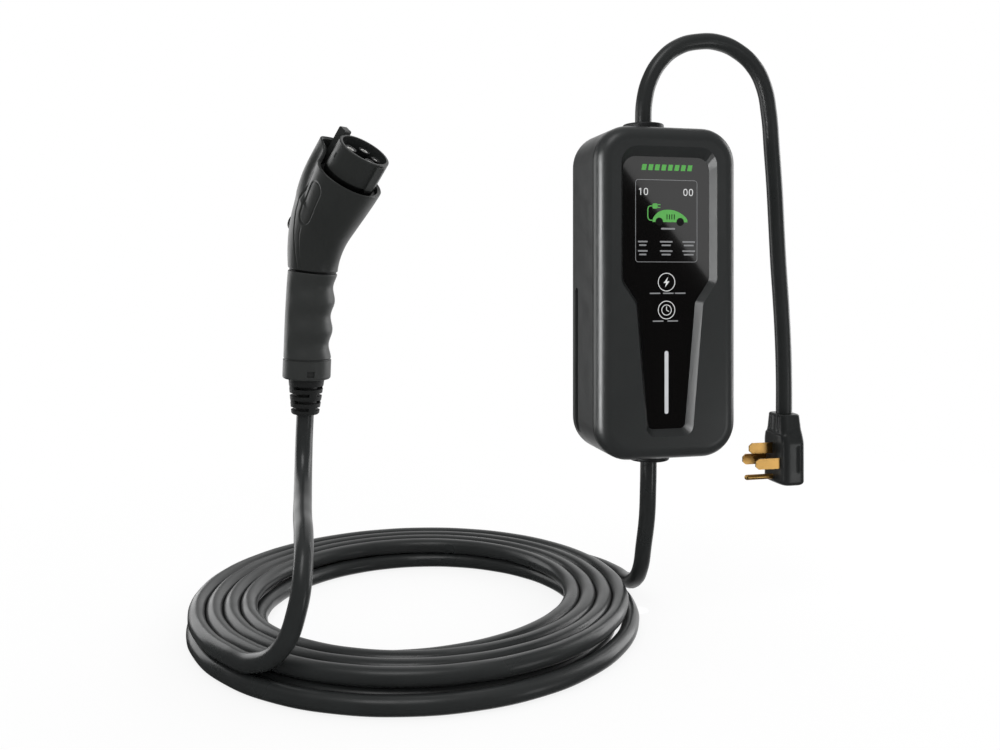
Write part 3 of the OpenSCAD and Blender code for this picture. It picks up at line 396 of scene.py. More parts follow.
class Finish(NodeTree):
    """A material on Object coordinates. Noise scales are counted per metre."""

    def __init__(self, name, colour, roughness, metallic=0.0):
        self.material = bpy.data.materials.new(name)
        self.material.use_nodes = True
        self.material.diffuse_color = opaque(colour)
        super().__init__(self.material.node_tree)
        self.shader = self.tree.nodes["Principled BSDF"]
        self.colour, self.roughness = colour, roughness
        self.feed({"Base Color": opaque(colour), "Roughness": roughness, "Metallic": metallic})
        self.place = self.add("TexCoord").outputs["Object"]

    def feed(self, sockets):
        """Fills sockets of the shader."""
        self.fill(self.shader, sockets)

    def show(self, surface):
        """Puts another surface in the place of the plain shader."""
        self.fill(self.tree.nodes["Material Output"], {"Surface": surface})

    def noise(self, scale, detail=3.0, stretch=None):
        """Noise on Object coordinates, stretched along the axes where asked."""
        place = self.place
        if stretch:
            place = self.add("Mapping", {"Vector": place, "Scale": stretch}).outputs["Vector"]
        return self.add("TexNoise", {"Vector": place, "Scale": scale, "Detail": detail}).outputs["Fac"]

    def mottle(self, scale, amount):
        """Base colour that wanders between a darker and a lighter tone."""
        darker, lighter = opaque(self.colour, 1.0 - amount), opaque(self.colour, 1.0 + amount)
        self.feed({"Base Color": self.mix(self.ramp(self.noise(scale), 0.0, 1.0), darker, lighter)})

    def smudge(self, value, amount):
        """Roughness that wanders by the amount around its own value as a noise value does."""
        self.feed({"Roughness": self.ramp(value, self.roughness - amount, self.roughness + amount)})

    def grain(self, height, depth, strength=1.0):
        """Bump of that depth in metres from a height value."""
        bump = self.add("Bump", {"Strength": strength, "Distance": depth, "Height": height})
        self.feed({"Normal": bump.outputs["Normal"]})

    def spark(self, grain_size, depth):
        """Fine spark grain of a size and a depth in millimetres, with a slightly uneven gloss."""
        self.smudge(self.noise(60.0), 0.04)
        self.grain(self.noise(1.0 / (grain_size * MM), detail=2.0), depth * MM)


def moulded(name, colour, roughness, grain_size, grain_depth):
    """Moulded plastic: fine spark grain in the surface, slightly uneven gloss and tone."""
    made = Finish(name, colour, roughness)
    made.mottle(scale=28.0, amount=0.04)
    made.spark(grain_size, grain_depth)
    return made.material


def shade_ringed(name, colour, painted_shade_colour, roughness, point, direction):
    """Moulded plastic whose foot, below a point along a direction, is painted darker: painted shade for the
    gap there, not a separate ring.
    """
    made = Finish(name, colour, roughness)
    along = made.add("VectorMath", {0: made.place, 1: direction}, operation="DOT_PRODUCT").outputs["Value"]
    level, blur = float(np.dot(point, direction)), 0.2 * MM
    above_painted_shade = made.ramp(along, 0.0, 1.0, level - blur, level + blur)
    made.feed({"Base Color": made.mix(above_painted_shade, opaque(painted_shade_colour), opaque(colour))})
    made.spark(grain_size=0.5, depth=0.016)
    return made.material


def polished(name, colour, roughness, coat):
    """Glossy sheet under a clear coat, with the faintest waves."""
    made = Finish(name, colour, roughness)
    made.mottle(scale=12.0, amount=0.05)
    made.smudge(made.noise(40.0), 0.015)
    made.feed({"Coat Weight": coat, "Coat Roughness": 0.03})
    made.grain(made.noise(9.0, detail=1.0), 0.01 * MM)
    return made.material


def lit(name, colour, glow):
    """Lit print or light bar: its own colour with a glow of the same tone."""
    made = Finish(name, colour, 0.35)
    made.mottle(scale=300.0, amount=0.05)
    made.feed({"Emission Color": opaque(colour), "Emission Strength": glow})
    return made.material


def drawn_metal(name, colour, roughness, stretch, metallic=1.0):
    """Drawn or stamped metal: long fine scratches along one axis and a slightly uneven tone."""
    made = Finish(name, colour, roughness, metallic)
    made.mottle(scale=90.0, amount=0.06)
    lines = made.noise(900.0, detail=2.0, stretch=stretch)
    made.smudge(lines, 0.07)
    made.grain(lines, 0.01 * MM, strength=0.6)
    return made.material


def printed_board(name, colour):
    """Circuit board: lacquer with paler tracks from a brick pattern that stands upright."""
    made = Finish(name, colour, 0.35)
    upright = made.add("Mapping", {"Vector": made.place, "Rotation": (math.radians(90), 0.0, 0.0)})
    lacquer = {"Color1": opaque(colour), "Color2": opaque(colour, 0.8), "Mortar": opaque(colour, 1.7)}
    pattern = {"Vector": upright.outputs["Vector"], "Scale": 60.0, "Mortar Size": 0.03}
    made.feed({"Base Color": made.add("TexBrick", {**lacquer, **pattern}).outputs["Color"]})
    made.smudge(made.noise(80.0), 0.05)
    return made.material


def jacket(name, colour):
    """Cable jacket: satin rubber with a faint ripple from the extruder and a dusty, uneven gloss."""
    made = Finish(name, colour, 0.32)
    made.mottle(scale=35.0, amount=0.08)
    made.smudge(made.noise(22.0), 0.07)
    made.grain(made.noise(700.0, detail=4.0), 0.05 * MM, strength=0.5)
    return made.material


def dress(material, *nodes):
    """Gives solids of the frame a finish in place of their plain one."""
    for node in nodes:
        NODES[node].data.materials.clear()
        NODES[node].data.materials.append(material)


def dress_all(finish, table):
    """Dresses the solids of a table, each row with a finish of its own."""
    for name, (code, *values, nodes) in table.items():
        dress(finish(name, tone(code), *values), *nodes)


# Cables
def cord_curve(name, points, diameter):
    """Round cord along a smooth curve through the points: one open spline with a round profile."""
    curve = bpy.data.curves.new(name, "CURVE")
    curve.dimensions = "3D"
    curve.bevel_depth = diameter / 2
    curve.bevel_resolution = 6
    curve.resolution_u = 8
    curve.use_fill_caps = True
    spline = curve.splines.new("BEZIER")
    spline.bezier_points.add(len(points) - 1)
    spline.bezier_points.foreach_set("co", np.asarray(points, float).ravel())
    for knot in spline.bezier_points:
        knot.handle_left_type = knot.handle_right_type = "AUTO"
    return curve


def coil_points(cable, floor):
    """Centre line of the coil from its leaving end to the riser.

    The angle grows steadily. Counted back from the riser, the radius falls by about a diameter a turn on
    the upper layer, stays while the cable goes down a diameter, and grows again on the lower layer."""
    landing, leaving, per_turn = 213.8, 53.4, 24
    whole_turns, upper_turns, descent, last_turn = 7, 3.7, 0.5, 6.5
    turns = whole_turns + (landing - leaving) / 360
    back = np.arange(1, int(turns * per_turn) + 1)[::-1] / per_turn
    outer, inner = cable.coil_radius, cable.coil_inner
    marks = [0, upper_turns, upper_turns + descent, last_turn, turns]
    radius = np.interp(back, marks, [outer, inner, inner, outer, outer])
    angle = np.radians(landing - 360 * back)
    x, y = cable.coil_x + radius * np.cos(angle), cable.coil_y + radius * np.sin(angle)
    return np.stack([x, y, floor + cable.diameter * (1.5 - ease((back - upper_turns) / descent))], axis=1)


def lay_cord(name, points, gland_level, diameter, rubber, solids, **facts):
    """Stiff cord along the points. The gland level is not used."""
    piece = add_piece(name, cord_curve(name, points, diameter), "cable", rubber, *solids)


class CHARGER_OT_lay_cables(bpy.types.Operator):
    """Lays the mains lead from the box to the plug, and the charging cable over the coil to the connector"""

    bl_idname = "charger.lay_cables"
    bl_label = "Lay the cables"

    def execute(self, context):
        cable = context.scene.charger_cable
        rubber = jacket("cable jacket", cable.jacket_colour)
        lead, drop, riser = (np.array(route) * MM for route in (MAINS_ROUTE, DROP_ROUTE, RISER_ROUTE))
        coil = coil_points(cable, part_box("cable_coil")[0].z)
        lay_cord(
            "mains_cord", lead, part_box("mains_gland")[1].z, cable.diameter, rubber, ["mains_lead"],
            length=0.52, far_end="plug", lay="hanging",
            with_pieces=["plug_shell", "live_prongs", "neutral_prong", "earth_prong"],
        )
        lay_cord(
            "charging_cord", np.concatenate([drop, coil, riser[::-1]]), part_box("output_gland")[0].z,
            cable.diameter, rubber, ["cable_drop", "cable_coil", "cable_riser"],
            length=8.44, far_end="connector", lay="coiled", with_pieces=["strain_relief"],
        )
        return {"FINISHED"}


# Control box
def rounded_path(width, height, radius, middle=(0.0, 0.0)):
    """Closed path of a rectangle with round corners: four quarter circles about the corners' middles."""
    angle = np.radians(np.linspace(0, 90, 9)[None, :] + 90 * np.arange(4)[:, None])
    right, top = np.array([1, -1, -1, 1])[:, None], np.array([1, 1, -1, -1])[:, None]
    x = middle[0] + right * (width / 2 - radius) + radius * np.cos(angle)
    z = middle[1] + top * (height / 2 - radius) + radius * np.sin(angle)
    return np.stack([x.ravel(), z.ravel()], axis=1)


def round_path(radius, middle, count=48):
    """Closed path of a circle."""
    angle = circle(count)
    return np.stack([middle[0] + radius * np.cos(angle), middle[1] + radius * np.sin(angle)], axis=1)


class PanelPrint:
    """Prints on the panel: flat plates and strips of the print's lift, drawn in millimetres across and up."""

    stroke = 0.75

    def __init__(self, lift):
        self.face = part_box("touch_panel")[0].y
        self.lift = lift
        self.patches = []

    def add(self, flat, lifts, along, caps):
        """Patch of flat points, each as many lifts in front of the panel's face as its share says."""
        depth = self.face - self.lift * np.array(lifts) + 0 * flat[..., 0]
        self.patches.append((np.stack([flat[..., 0], depth, flat[..., 1]], axis=-1), True, along, caps))

    def plate(self, outline, layer=1):
        """Filled shape: its outline just off the panel's face and a lift in front of it."""
        flat = np.asarray(outline, float) * MM
        self.add(np.stack([flat, flat]), [[layer - 0.8], [layer]], False, True)

    def strip(self, path, width, closed=False):
        """Line of a width: four edges half the width to the left and right of the path, before and behind."""
        flat = np.asarray(path, float) * MM
        ahead = np.roll(flat, -1, 0) - np.roll(flat, 1, 0) if closed else np.gradient(flat, axis=0)
        ahead /= np.linalg.norm(ahead, axis=1, keepdims=True)
        left = np.stack([-ahead[:, 1], ahead[:, 0]], axis=1)
        offset = width * MM / 2 * np.array([1, 1, -1, -1])
        sides = flat[:, None, :] + left[:, None, :] * offset[None, :, None]
        self.add(sides, [1.0, 0.2, 0.2, 1.0], closed, not closed)

    def figure_nought(self, x, z):
        """Figure 0: a tall superellipse."""
        angle = circle(40)
        wide, tall = 1.55 * signed_power(np.cos(angle), 0.8), 2.6 * signed_power(np.sin(angle), 0.8)
        self.strip(np.stack([x + wide, z + tall], axis=1), self.stroke, closed=True)

    def figure_one(self, x, z):
        """Figure 1: an upright with a short flag."""
        self.strip([(x + 0.4, z - 2.95), (x + 0.4, z + 2.95)], self.stroke)
        self.strip([(x - 1.1, z + 1.6), (x + 0.3, z + 2.7)], 0.7)

    def lay(self, name, ink):
        """Piece of all plates and strips drawn so far, in one ink."""
        add_piece(name, mesh_of(name, self.patches), "light", ink)


class CHARGER_OT_dress_box(bpy.types.Operator):
    """Gives the housing halves, seal, panel, light bar and glands their finishes and lays the prints"""

    bl_idname = "charger.dress_box"
    bl_label = "Dress the control box"

    wheels, axle = (-6.6, 12.4), 59.9

    def execute(self, context):
        box = context.scene.charger_box
        plastic = moulded("housing plastic", box.housing_colour, 0.34, 0.45, 0.012)
        dress(plastic, "rear_housing", "front_housing")
        dress(polished("panel glass", box.panel_colour, 0.06, 0.6), "touch_panel")
        dress(lit("light bar", box.light_colour, 0.12), "status_light")
        dress_all(moulded, BOX_PLASTICS)
        self.lay_green(box)
        self.lay_dark(box)
        self.lay_white(box)
        self.lay_grey(box)
        return {"FINISHED"}

    def lay_green(self, box):
        """Green signs: a row of level bars over the frame, and a small car with its plug in the frame."""
        green = PanelPrint(box.print_lift)
        first, pitch, foot, top = -22.6, 5.9, 103, 108
        for x in first + pitch * np.arange(8):
            green.plate([(x, foot), (x + 4, foot), (x + 5, top), (x + 1, top)])
        u = np.linspace(-1, 1, 49)
        roof = 61.4 + 8.6 * (1 - np.abs(u + 0.12 * (1 - u * u)) ** 2.3) ** 0.75
        sill = [(19, 59.6), (-12.6, 59.6)]
        green.plate(np.concatenate([np.stack([3.2 + 15.8 * u, roof], axis=1), sill]))
        for x in self.wheels:
            green.strip(round_path(2.5, (x, self.axle), 32), 0.9, closed=True)
        lower_lead = [(-12.4, 61), (-15, 61), (-16.4, 62.2), (-16.9, 64)]
        upper_lead = [(-16.9, 70), (-16.4, 72), (-15, 73), (-12.6, 73)]
        green.strip(lower_lead + upper_lead, 0.9)
        green.plate(rounded_path(4.6, 4.4, 1.2, (-10.4, 73)))
        for z in (74.2, 71.8):
            green.strip([(-8.2, z), (-5.6, z)], 0.8)
        green.lay("green_print", lit("green ink", box.green_ink, 0.25))

    def lay_dark(self, box):
        """Dark discs round the car's wheels and dark slots in its door, a layer over the green."""
        dark = PanelPrint(box.print_lift)
        for x in self.wheels:
            dark.plate(round_path(3.4, (x, self.axle), 32), layer=2)
        for x in (0.4, 2.6, 4.8, 7.0):
            dark.plate(rounded_path(0.8, 4.4, 0.3, (x, 64)), layer=2)
        dark.lay("dark_print", moulded("dark ink", box.panel_colour, 0.3, 0.5, 0.001))

    def lay_white(self, box):
        """White figures in the frame's upper corners, key rings with a bolt and a clock."""
        white = PanelPrint(box.print_lift)
        line, figures = 0.6, 85
        white.figure_one(-23.6, figures)
        for x in (-18.6, 17.2, 22.2):
            white.figure_nought(x, figures)
        radius, upper, lower = (v / MM for v in (box.key_radius, box.upper_key, box.lower_key))
        for z in (upper, lower):
            white.strip(round_path(radius, (0, z), 64), line, closed=True)
        bolt = np.array([(1.4, 4.4), (-2.7, -0.7), (-0.3, -0.7), (-1.4, -4.4), (2.7, 0.7), (0.3, 0.7)])
        white.plate(bolt + [0, upper])
        white.strip(round_path(4.3, (0, lower)), line, closed=True)
        white.strip([(0, lower + 2.9), (0, lower)], line)
        white.strip([(-0.2, lower), (2.2, lower - 1.2)], line)
        white.lay("white_print", lit("white ink", box.white_ink, 0.12))

    def lay_grey(self, box):
        """Grey lines: the display's frame, short bars in three columns and a broken line under each key."""
        grey = PanelPrint(box.print_lift)
        width, height, middle = (v / MM for v in (box.frame_width, box.frame_height, box.frame_middle))
        grey.strip(rounded_path(width, height, 2.5, (0, middle)), 0.45, closed=True)
        for x, long, short in ((-21.4, 8.6, 6.4), (-0.3, 11.4, 8.2), (20.2, 11.6, 9.0)):
            for z, run in ((43, long), (40, short), (35.2, long), (32.2, short)):
                grey.plate(rounded_path(run, 1.3, 0.4, (x, z)))
        grey.plate(rounded_path(12.6, 1.5, 0.5, (1.4, 54)))
        for z, places in ((-0.4, (-10.4, 1.6, 12.4)), (-23.8, (-7.6, 5.6))):
            for x in places:
                grey.plate(rounded_path(9.6, 1.1, 0.4, (x, z)))
        grey.lay("grey_print", lit("grey ink", box.grey_ink, 0.05))


# Electronics inside the box
class CHARGER_OT_dress_electronics(bpy.types.Operator):
    """Gives the boards, relays, coils, terminals, wires and screws inside the box their finishes"""

    bl_idname = "charger.dress_electronics"
    bl_label = "Dress the electronics"

    def execute(self, context):
        dress(printed_board("board lacquer", tone("#2f5d3a")), "main_board", "display_board")
        dress(polished("display glass", tone("#0d1012"), 0.12, 0.3), "display_module")
        dress_all(moulded, INNER_PLASTICS)
        dress_all(drawn_metal, INNER_METALS)
        return {"FINISHED"}


# Vehicle connector
RIM_RADIUS = 1 * MM
SPRING_FOOT = np.array([-13, 0, -57]) * MM
SPRING_LENGTH = 7.5 * MM


class ConnectorAxis:
    """Axis of the connector: a chain of arcs in one upright plane.

    Its lean changes steadily over each stretch, and its points are the running sum of the lean's sine and
    cosine."""

    leans = (3.0, 3.0, 7.5, 35.0, 39.0, 39.0)
    step = 0.25 * MM
    past_mouth = 60 * MM

    def __init__(self, part):
        end = part.mouth + self.past_mouth
        self.marks = np.array([0.0, part.grip_start, part.seam, part.knee, part.mouth, end])
        s = np.arange(0.0, self.marks[-1], self.step)
        middle = self.lean(s + self.step / 2)
        self.run = s + self.step
        self.across = np.cumsum(np.sin(middle)) * self.step
        self.up = np.cumsum(np.cos(middle)) * self.step
        self.start = np.array(part.start)
        self.turn = part.turn

    def lean(self, s):
        """Lean of the axis from the upright at a distance s along it, in radians."""
        return np.radians(np.interp(s, self.marks, self.leans))

    def place(self, s, x, y, z=0.0):
        """World points at a distance s along the axis, x towards the fingers, y across and z further on."""
        lean = self.lean(s)
        across = np.interp(s, self.run, self.across) + x * np.cos(lean) + z * np.sin(lean)
        up = np.interp(s, self.run, self.up) - x * np.sin(lean) + z * np.cos(lean)
        cos, sin = np.cos(self.turn), np.sin(self.turn)
        return np.stack([across * cos - y * sin, across * sin + y * cos, up], axis=-1) + self.start


def shell_rows(start, end, wall, count):
    """Rows of a shell's lengthwise section, out along the outside with rounded ends and back inside.

    A row is its place, its inset from the outside, and 1 on the outside or 0 within."""
    bow = np.radians(np.linspace(0, 90, 5))
    rise, run = RIM_RADIUS * (1 - np.sin(bow)), RIM_RADIUS * (1 - np.cos(bow))
    out = np.linspace(start + RIM_RADIUS, end - RIM_RADIUS, count)[1:-1]
    back = np.linspace(end - RIM_RADIUS, start, count // 2)
    place = np.concatenate([start + run, out, end - rise, back])
    inset = np.concatenate([rise, 0 * out, run, 0 * back + wall])
    outside = np.arange(len(place)) < len(place) - len(back)
    return place[:, None], inset[:, None], outside[:, None]


def head_reach(part, way, cos):
    """Distance of the head's outside from the axis.

    It is round with a half width that grows by a smooth step, joined on the latch side with an arch, a
    superellipse whose reach grows as 1 less the power 1.8 of the way left to the mouth."""
    sin, arch_start = np.sqrt(1.0 - cos * cos), 26 * MM
    latch = part.hood_reach + (part.grip_radius - part.hood_reach) * (1.0 - way) ** 1.8
    half = part.grip_radius + (part.mouth_radius - part.grip_radius) * ease(way)
    arching = ease(2.0 * way - 1.0)
    width = np.minimum(arch_start + (part.hood_half - arch_start) * arching, half)
    power = 2.0 + 2.0 * arching
    arch = ((np.abs(cos) / latch) ** power + (sin / width) ** power) ** (-1.0 / power)
    blur = (0.01 + 5.0 * arching) * MM
    joined = np.maximum(half, arch) + np.maximum(blur - np.abs(half - arch), 0.0) ** 2 / (4.0 * blur)
    return half + (joined - half) * ease(-cos / 0.3)


def head_dents(part, s, off):
    """Depth of the head's surface lines, where off is the angle from the latch in degrees.

    They are a sunken pad shaped like a running track on each side, and two lines that run from the seam up
    along the hood, each a smooth hill about an angle that changes steadily between the marks."""
    pad_angle, pad_place, pad_run, pad_radius, surface_radius = 84.0, 180 * MM, 12 * MM, 7 * MM, 25 * MM
    across = np.radians(off - pad_angle) * surface_radius
    along = np.maximum(np.abs(s - pad_place) - pad_run, 0.0)
    edge = np.hypot(across, along) - pad_radius
    pad = part.pad_depth * (ease(0.5 - edge / (1.4 * MM)) + 0.7 * bump_at(edge, 0.0, 1.1 * MM))
    marks = np.array([121, 126, 151, 165, 205]) * MM
    long_end, short_end = 208 * MM, 159 * MM
    line = bump_at(off, np.interp(s, marks, [100, 95, 66, 53, 55]), 3.2) * ease((long_end - s) / (8 * MM))
    short = bump_at(off, np.interp(s, marks, [108, 104, 85, 84, 84]), 2.8) * ease((short_end - s) / (5 * MM))
    return pad + part.ledge_depth * np.maximum(line, 0.7 * short)


def head_surface(part, axis):
    """Head of the connector: sections by head_reach less its dents.

    The rim stays back from the mouth, and on the latch side it laps over it by a smooth step of the angle."""
    span = part.mouth - part.seam
    place, inset, outside = shell_rows(part.seam + part.seam_gap, part.mouth, part.wall, 150)
    angle = circle(300)[None, :]
    cos, sin = np.cos(angle), np.sin(angle)
    off = np.abs(np.degrees(angle) - 180.0)
    lap = -part.mouth_back + (part.hood_lap + part.mouth_back) * ease((45.0 - off) / 27.0)
    s = part.seam + (place - part.seam) * (1.0 + lap / span)
    reach = head_reach(part, np.clip((s - part.seam) / span, 0.0, 1.0), cos) - inset
    dented = outside * (inset <= 0) * ((place - part.seam) / span < 0.99)
    reach = reach - head_dents(part, s, off) * dented
    return axis.place(s, reach * cos, reach * sin)


def button_cutter(part, axis):
    """Cylinder on the button's axis, from inside the head's wall to well outside it."""
    around = circle(72)[None, :]
    x = np.array([[-15.0], [-60.0]]) * MM + 0 * around
    y, z = part.button_hole * np.cos(around) + 0 * x, part.button_hole * np.sin(around) + 0 * x
    return capped_tube("button_cutter", axis.place(part.button_place + 0 * x, x, y, z))


def grip_surface(part, axis):
    """Grip: round sections that thin a little towards the cable.

    The three hollows on the finger side follow the square of a sine along the grip and fade by a smooth step
    of the angle."""
    taper, inner = 0.8 * MM, part.wall + part.finger_depth
    s, inset, outside = shell_rows(part.grip_start, part.seam - part.seam_gap, inner, 150)
    around = circle(180)[None, :]
    way = (s - part.grip_start) / (part.seam - part.grip_start)
    cos, sin = np.cos(around), np.sin(around)
    hollow = part.finger_depth * np.sin(np.radians(540) * way) ** 2 * ease(1.4 * cos + 0.3) * outside
    reach = part.grip_radius - taper * ease(1 - way) - inset - hollow
    return axis.place(s + 0 * reach, reach * cos, reach * sin)


def seam_washer(part, axis):
    """Washer that fills the gap between head and grip: a rectangle carried round the axis."""
    half, sunk, width = part.seam_gap - 0.05 * MM, 1.1 * MM, 1.8 * MM
    s = part.seam + half * np.array([-1, 1, 1, -1])[:, None]
    reach = part.grip_radius - sunk - width * np.array([0, 0, 1, 1])[:, None]
    around = circle(96)[None, :]
    return axis.place(s + 0 * around, reach * np.cos(around), reach * np.sin(around))


def spring_surface(part, axis):
    """Latch spring: a round wire carried along a helix, whose angle and height grow steadily."""
    turns, radius, wire_radius, end_room = 4, 2.6 * MM, 0.4 * MM, 0.5 * MM
    angle = np.linspace(0, 2 * np.pi * turns, 16 * turns + 1)
    level, cos, sin = 0 * angle, np.cos(angle), np.sin(angle)
    rise = (SPRING_LENGTH - 2 * end_room) / angle[-1]
    out = np.stack([level, sin, cos], axis=1)
    ahead = np.stack([level - rise, radius * cos, -radius * sin], axis=1)
    ahead /= np.linalg.norm(ahead, axis=1, keepdims=True)
    side = np.cross(ahead, out)
    line = SPRING_FOOT + radius * out - np.stack([end_room + rise * angle, level, level], axis=1)
    turn = circle(8)[None, :, None]
    section = np.cos(turn) * out[:, None, :] + np.sin(turn) * side[:, None, :]
    x, y, z = (line[:, None, :] + wire_radius * section).transpose(2, 0, 1)
    return axis.place(part.face + 0 * x, x, y, z)


class CHARGER_OT_form_connector(bpy.types.Operator):
    """Forms the connector's head, grip and spring and dresses its barrel, boot, latch and button"""

    bl_idname = "charger.form_connector"
    bl_label = "Form the connector"

    def execute(self, context):
        part = context.scene.charger_connector
        axis = ConnectorAxis(part)
        self.form_shells(part, axis)
        self.form_spring(part, axis)
        self.dress_barrel(part, axis)
        dress_all(moulded, CONNECTOR_PLASTICS)
        plated = drawn_metal("plated contact", tone("#e8e8e5"), 0.42, (6, 6, 1), metallic=0.4)
        dress(plated, "power_contacts", "earth_contact", "signal_contacts")
        return {"FINISHED"}

    def form_shells(self, part, axis):
        """Head, grip and the washer between them, with latch and collar in the same finishes."""
        hard = moulded("connector shell", part.shell_colour, 0.38, 0.5, 0.016)
        soft = moulded("grip rubber", part.grip_colour, 0.42, 0.35, 0.02)
        seal = moulded("seam rubber", tone("#0b0c0c"), 0.6, 0.3, 0.01)
        head = bored(closed_shell("head_shell", head_surface(part, axis)), button_cutter(part, axis))
        add_piece("head_shell", head, "connector", hard, "connector_head")
        grip = closed_shell("finger_grip", grip_surface(part, axis))
        add_piece("finger_grip", grip, "grip", soft, "grip_sleeve")
        add_piece("seam_ring", closed_shell("seam_ring", seam_washer(part, axis)), "seal", seal)
        dress(hard, "latch_lever")
        dress(soft, "end_collar")

    def form_spring(self, part, axis):
        """Latch spring, on a mesh of its own."""
        steel = drawn_metal("spring wire", tone("#c7c9cc"), 0.25, (1, 1, 6))
        wire = capped_tube("squeezed_spring", spring_surface(part, axis))
        spring = add_piece("squeezed_spring", wire, "steel", steel, "latch_spring")
        ends = SPRING_FOOT[0] - np.array([0, SPRING_LENGTH])
        foot, tip = axis.place(np.full(2, part.face), ends, np.zeros(2), SPRING_FOOT[2])
        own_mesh(spring)

    def dress_barrel(self, part, axis):
        """Barrel in the shell's colour with painted shade at its foot: a near-black ring in place of the
        shade in the gap between barrel and rim.
        """
        short = 1 * MM
        foot, ahead = axis.place(np.array([part.painted_shade_end, part.painted_shade_end + short]), np.zeros(2), np.zeros(2))
        direction = (ahead - foot) / short
        # 060707 is the painted shade at the barrel's foot.
        plastic = shade_ringed("barrel plastic with painted shade", part.shell_colour, tone("#060707"), 0.38, foot, direction)
        dress(plastic, "coupler_barrel")


# Mains plug
def plug_surface(part, hole):
    """Plug body: superellipse sections of the power 4.5 down the height.

    The half width grows along the neck and over the shoulder, the prong side steps out to a flat plate under
    the neck, the far side swells softly, and the foot is rounded. The prong side of the neck has flutes after
    the square of a cosine, and each flank has two upright grooves. The first two rows are a round hole for
    the lead."""
    angle, power, rows = circle(288)[None, :], 2 / 4.5, 110
    cos, sin = np.cos(angle), np.sin(angle)
    bow = np.radians(np.linspace(0, 90, 9))[1:]
    rim, foot, pitch, neck = 0.8 * MM, 4 * MM, 7 * MM, part.neck
    level = part.height - foot
    depth = np.concatenate([[0.0], np.linspace(rim, level, rows), level + foot * np.sin(bow)])[:, None]
    inset = np.concatenate([[rim], np.zeros(rows), foot * (1 - np.cos(bow))])[:, None]
    flare, bulge = np.minimum(depth / neck, 1.0), ease((depth - neck + 5 * MM) / (14 * MM))
    slim, flared = part.neck_width / 2, part.neck_width / 2 + 3 * MM
    half = slim + (flared - slim) * flare + (part.width / 2 - flared) * bulge - inset
    thick = part.thickness / 2
    steps = [thick - 2 * MM, thick - 1.4 * MM, thick]
    plate = np.interp(depth, [0, neck, neck + 1.5 * MM], steps) - inset
    swell = thick - 2 * MM + 1.2 * MM * flare + 0.8 * MM * bulge - inset
    x = np.where(cos < 0, plate, swell) * signed_power(cos, power)
    y = half * signed_power(sin, power)
    on_neck = ease((neck - 1 * MM - depth) / (2 * MM)) * ease(depth / (2 * MM))
    on_front = ease((-cos - 0.25) / 0.3) * ease((10 * MM - np.abs(y)) / (2 * MM))
    x = x + part.flute_depth * np.cos(np.pi * y / pitch) ** 2 * on_neck * on_front
    on_flank = ease((depth - neck - 9 * MM) / (3 * MM)) * ease((part.height - 11 * MM - depth) / (3 * MM))
    groove = sum(bump_at(x, thick - behind * MM, 1.3 * MM) for behind in (8.4, 5.4))
    y = y - np.sign(sin) * part.groove_depth * groove * on_flank
    way = np.arctan2(y[0], x[0])[None, :]
    well = np.array([[11 * MM], [0.0]])
    x = np.concatenate([hole * np.cos(way) + 0 * well, x])
    y = np.concatenate([hole * np.sin(way) + 0 * well, y])
    z = np.concatenate([well, depth]) + 0 * x
    return np.stack([x, y, -z], axis=-1) + np.array(part.place)


class CHARGER_OT_form_plug(bpy.types.Operator):
    """Forms the plug's body with its flutes and grooves and gives the brass prongs their finish"""

    bl_idname = "charger.form_plug"
    bl_label = "Form the plug"

    def execute(self, context):
        part = context.scene.charger_plug
        hole = context.scene.charger_cable.diameter / 2 + 0.2 * MM
        rubber = moulded("plug rubber", part.body_colour, 0.34, 0.4, 0.012)
        body = capped_tube("plug_shell", plug_surface(part, hole))
        add_piece("plug_shell", body, "plug", rubber, "plug_body")
        brass = drawn_metal("prong brass", part.prong_colour, 0.34, (1, 10, 10))
        dress(brass, "live_prongs", "neutral_prong", "earth_prong")
        return {"FINISHED"}


# Stage
def soft_lamp(name, place, aim, sides, power):
    """Large soft lamp at a place, turned to its aim."""
    lamp = bpy.data.lights.new(name, "AREA")
    lamp.shape = "RECTANGLE"
    lamp.size, lamp.size_y = sides
    lamp.energy = power
    stand = put(name, lamp)
    stand.location = place
    direction = Vector(aim) - Vector(place)
    stand.rotation_euler = direction.to_track_quat("-Z", "Y").to_euler()


def upright(first, second, low, high):
    """Corners of an upright card over the line between two points of the floor plan."""
    return [[(*first, low), (*second, low)], [(*first, high), (*second, high)]]


def reflector(name, corners, outward, strength):
    """Flat card of four corners that glows on one side and is seen by reflections alone."""
    mesh = mesh_of(name, [(np.array(corners, float), False, False, False)], outward=outward)
    card = put(name, mesh)
    card.visible_camera = card.visible_diffuse = card.visible_shadow = card.visible_transmission = False
    made = Finish(name, (1.0, 1.0, 1.0), 1.0)
    shine = made.add("Emission", {"Strength": strength}).outputs["Emission"]
    clear = made.add("BsdfTransparent").outputs["BSDF"]
    behind = made.add("NewGeometry").outputs["Backfacing"]
    made.show(made.add("MixShader", {"Fac": behind, 1: shine, 2: clear}).outputs["Shader"])
    mesh.materials.append(made.material)


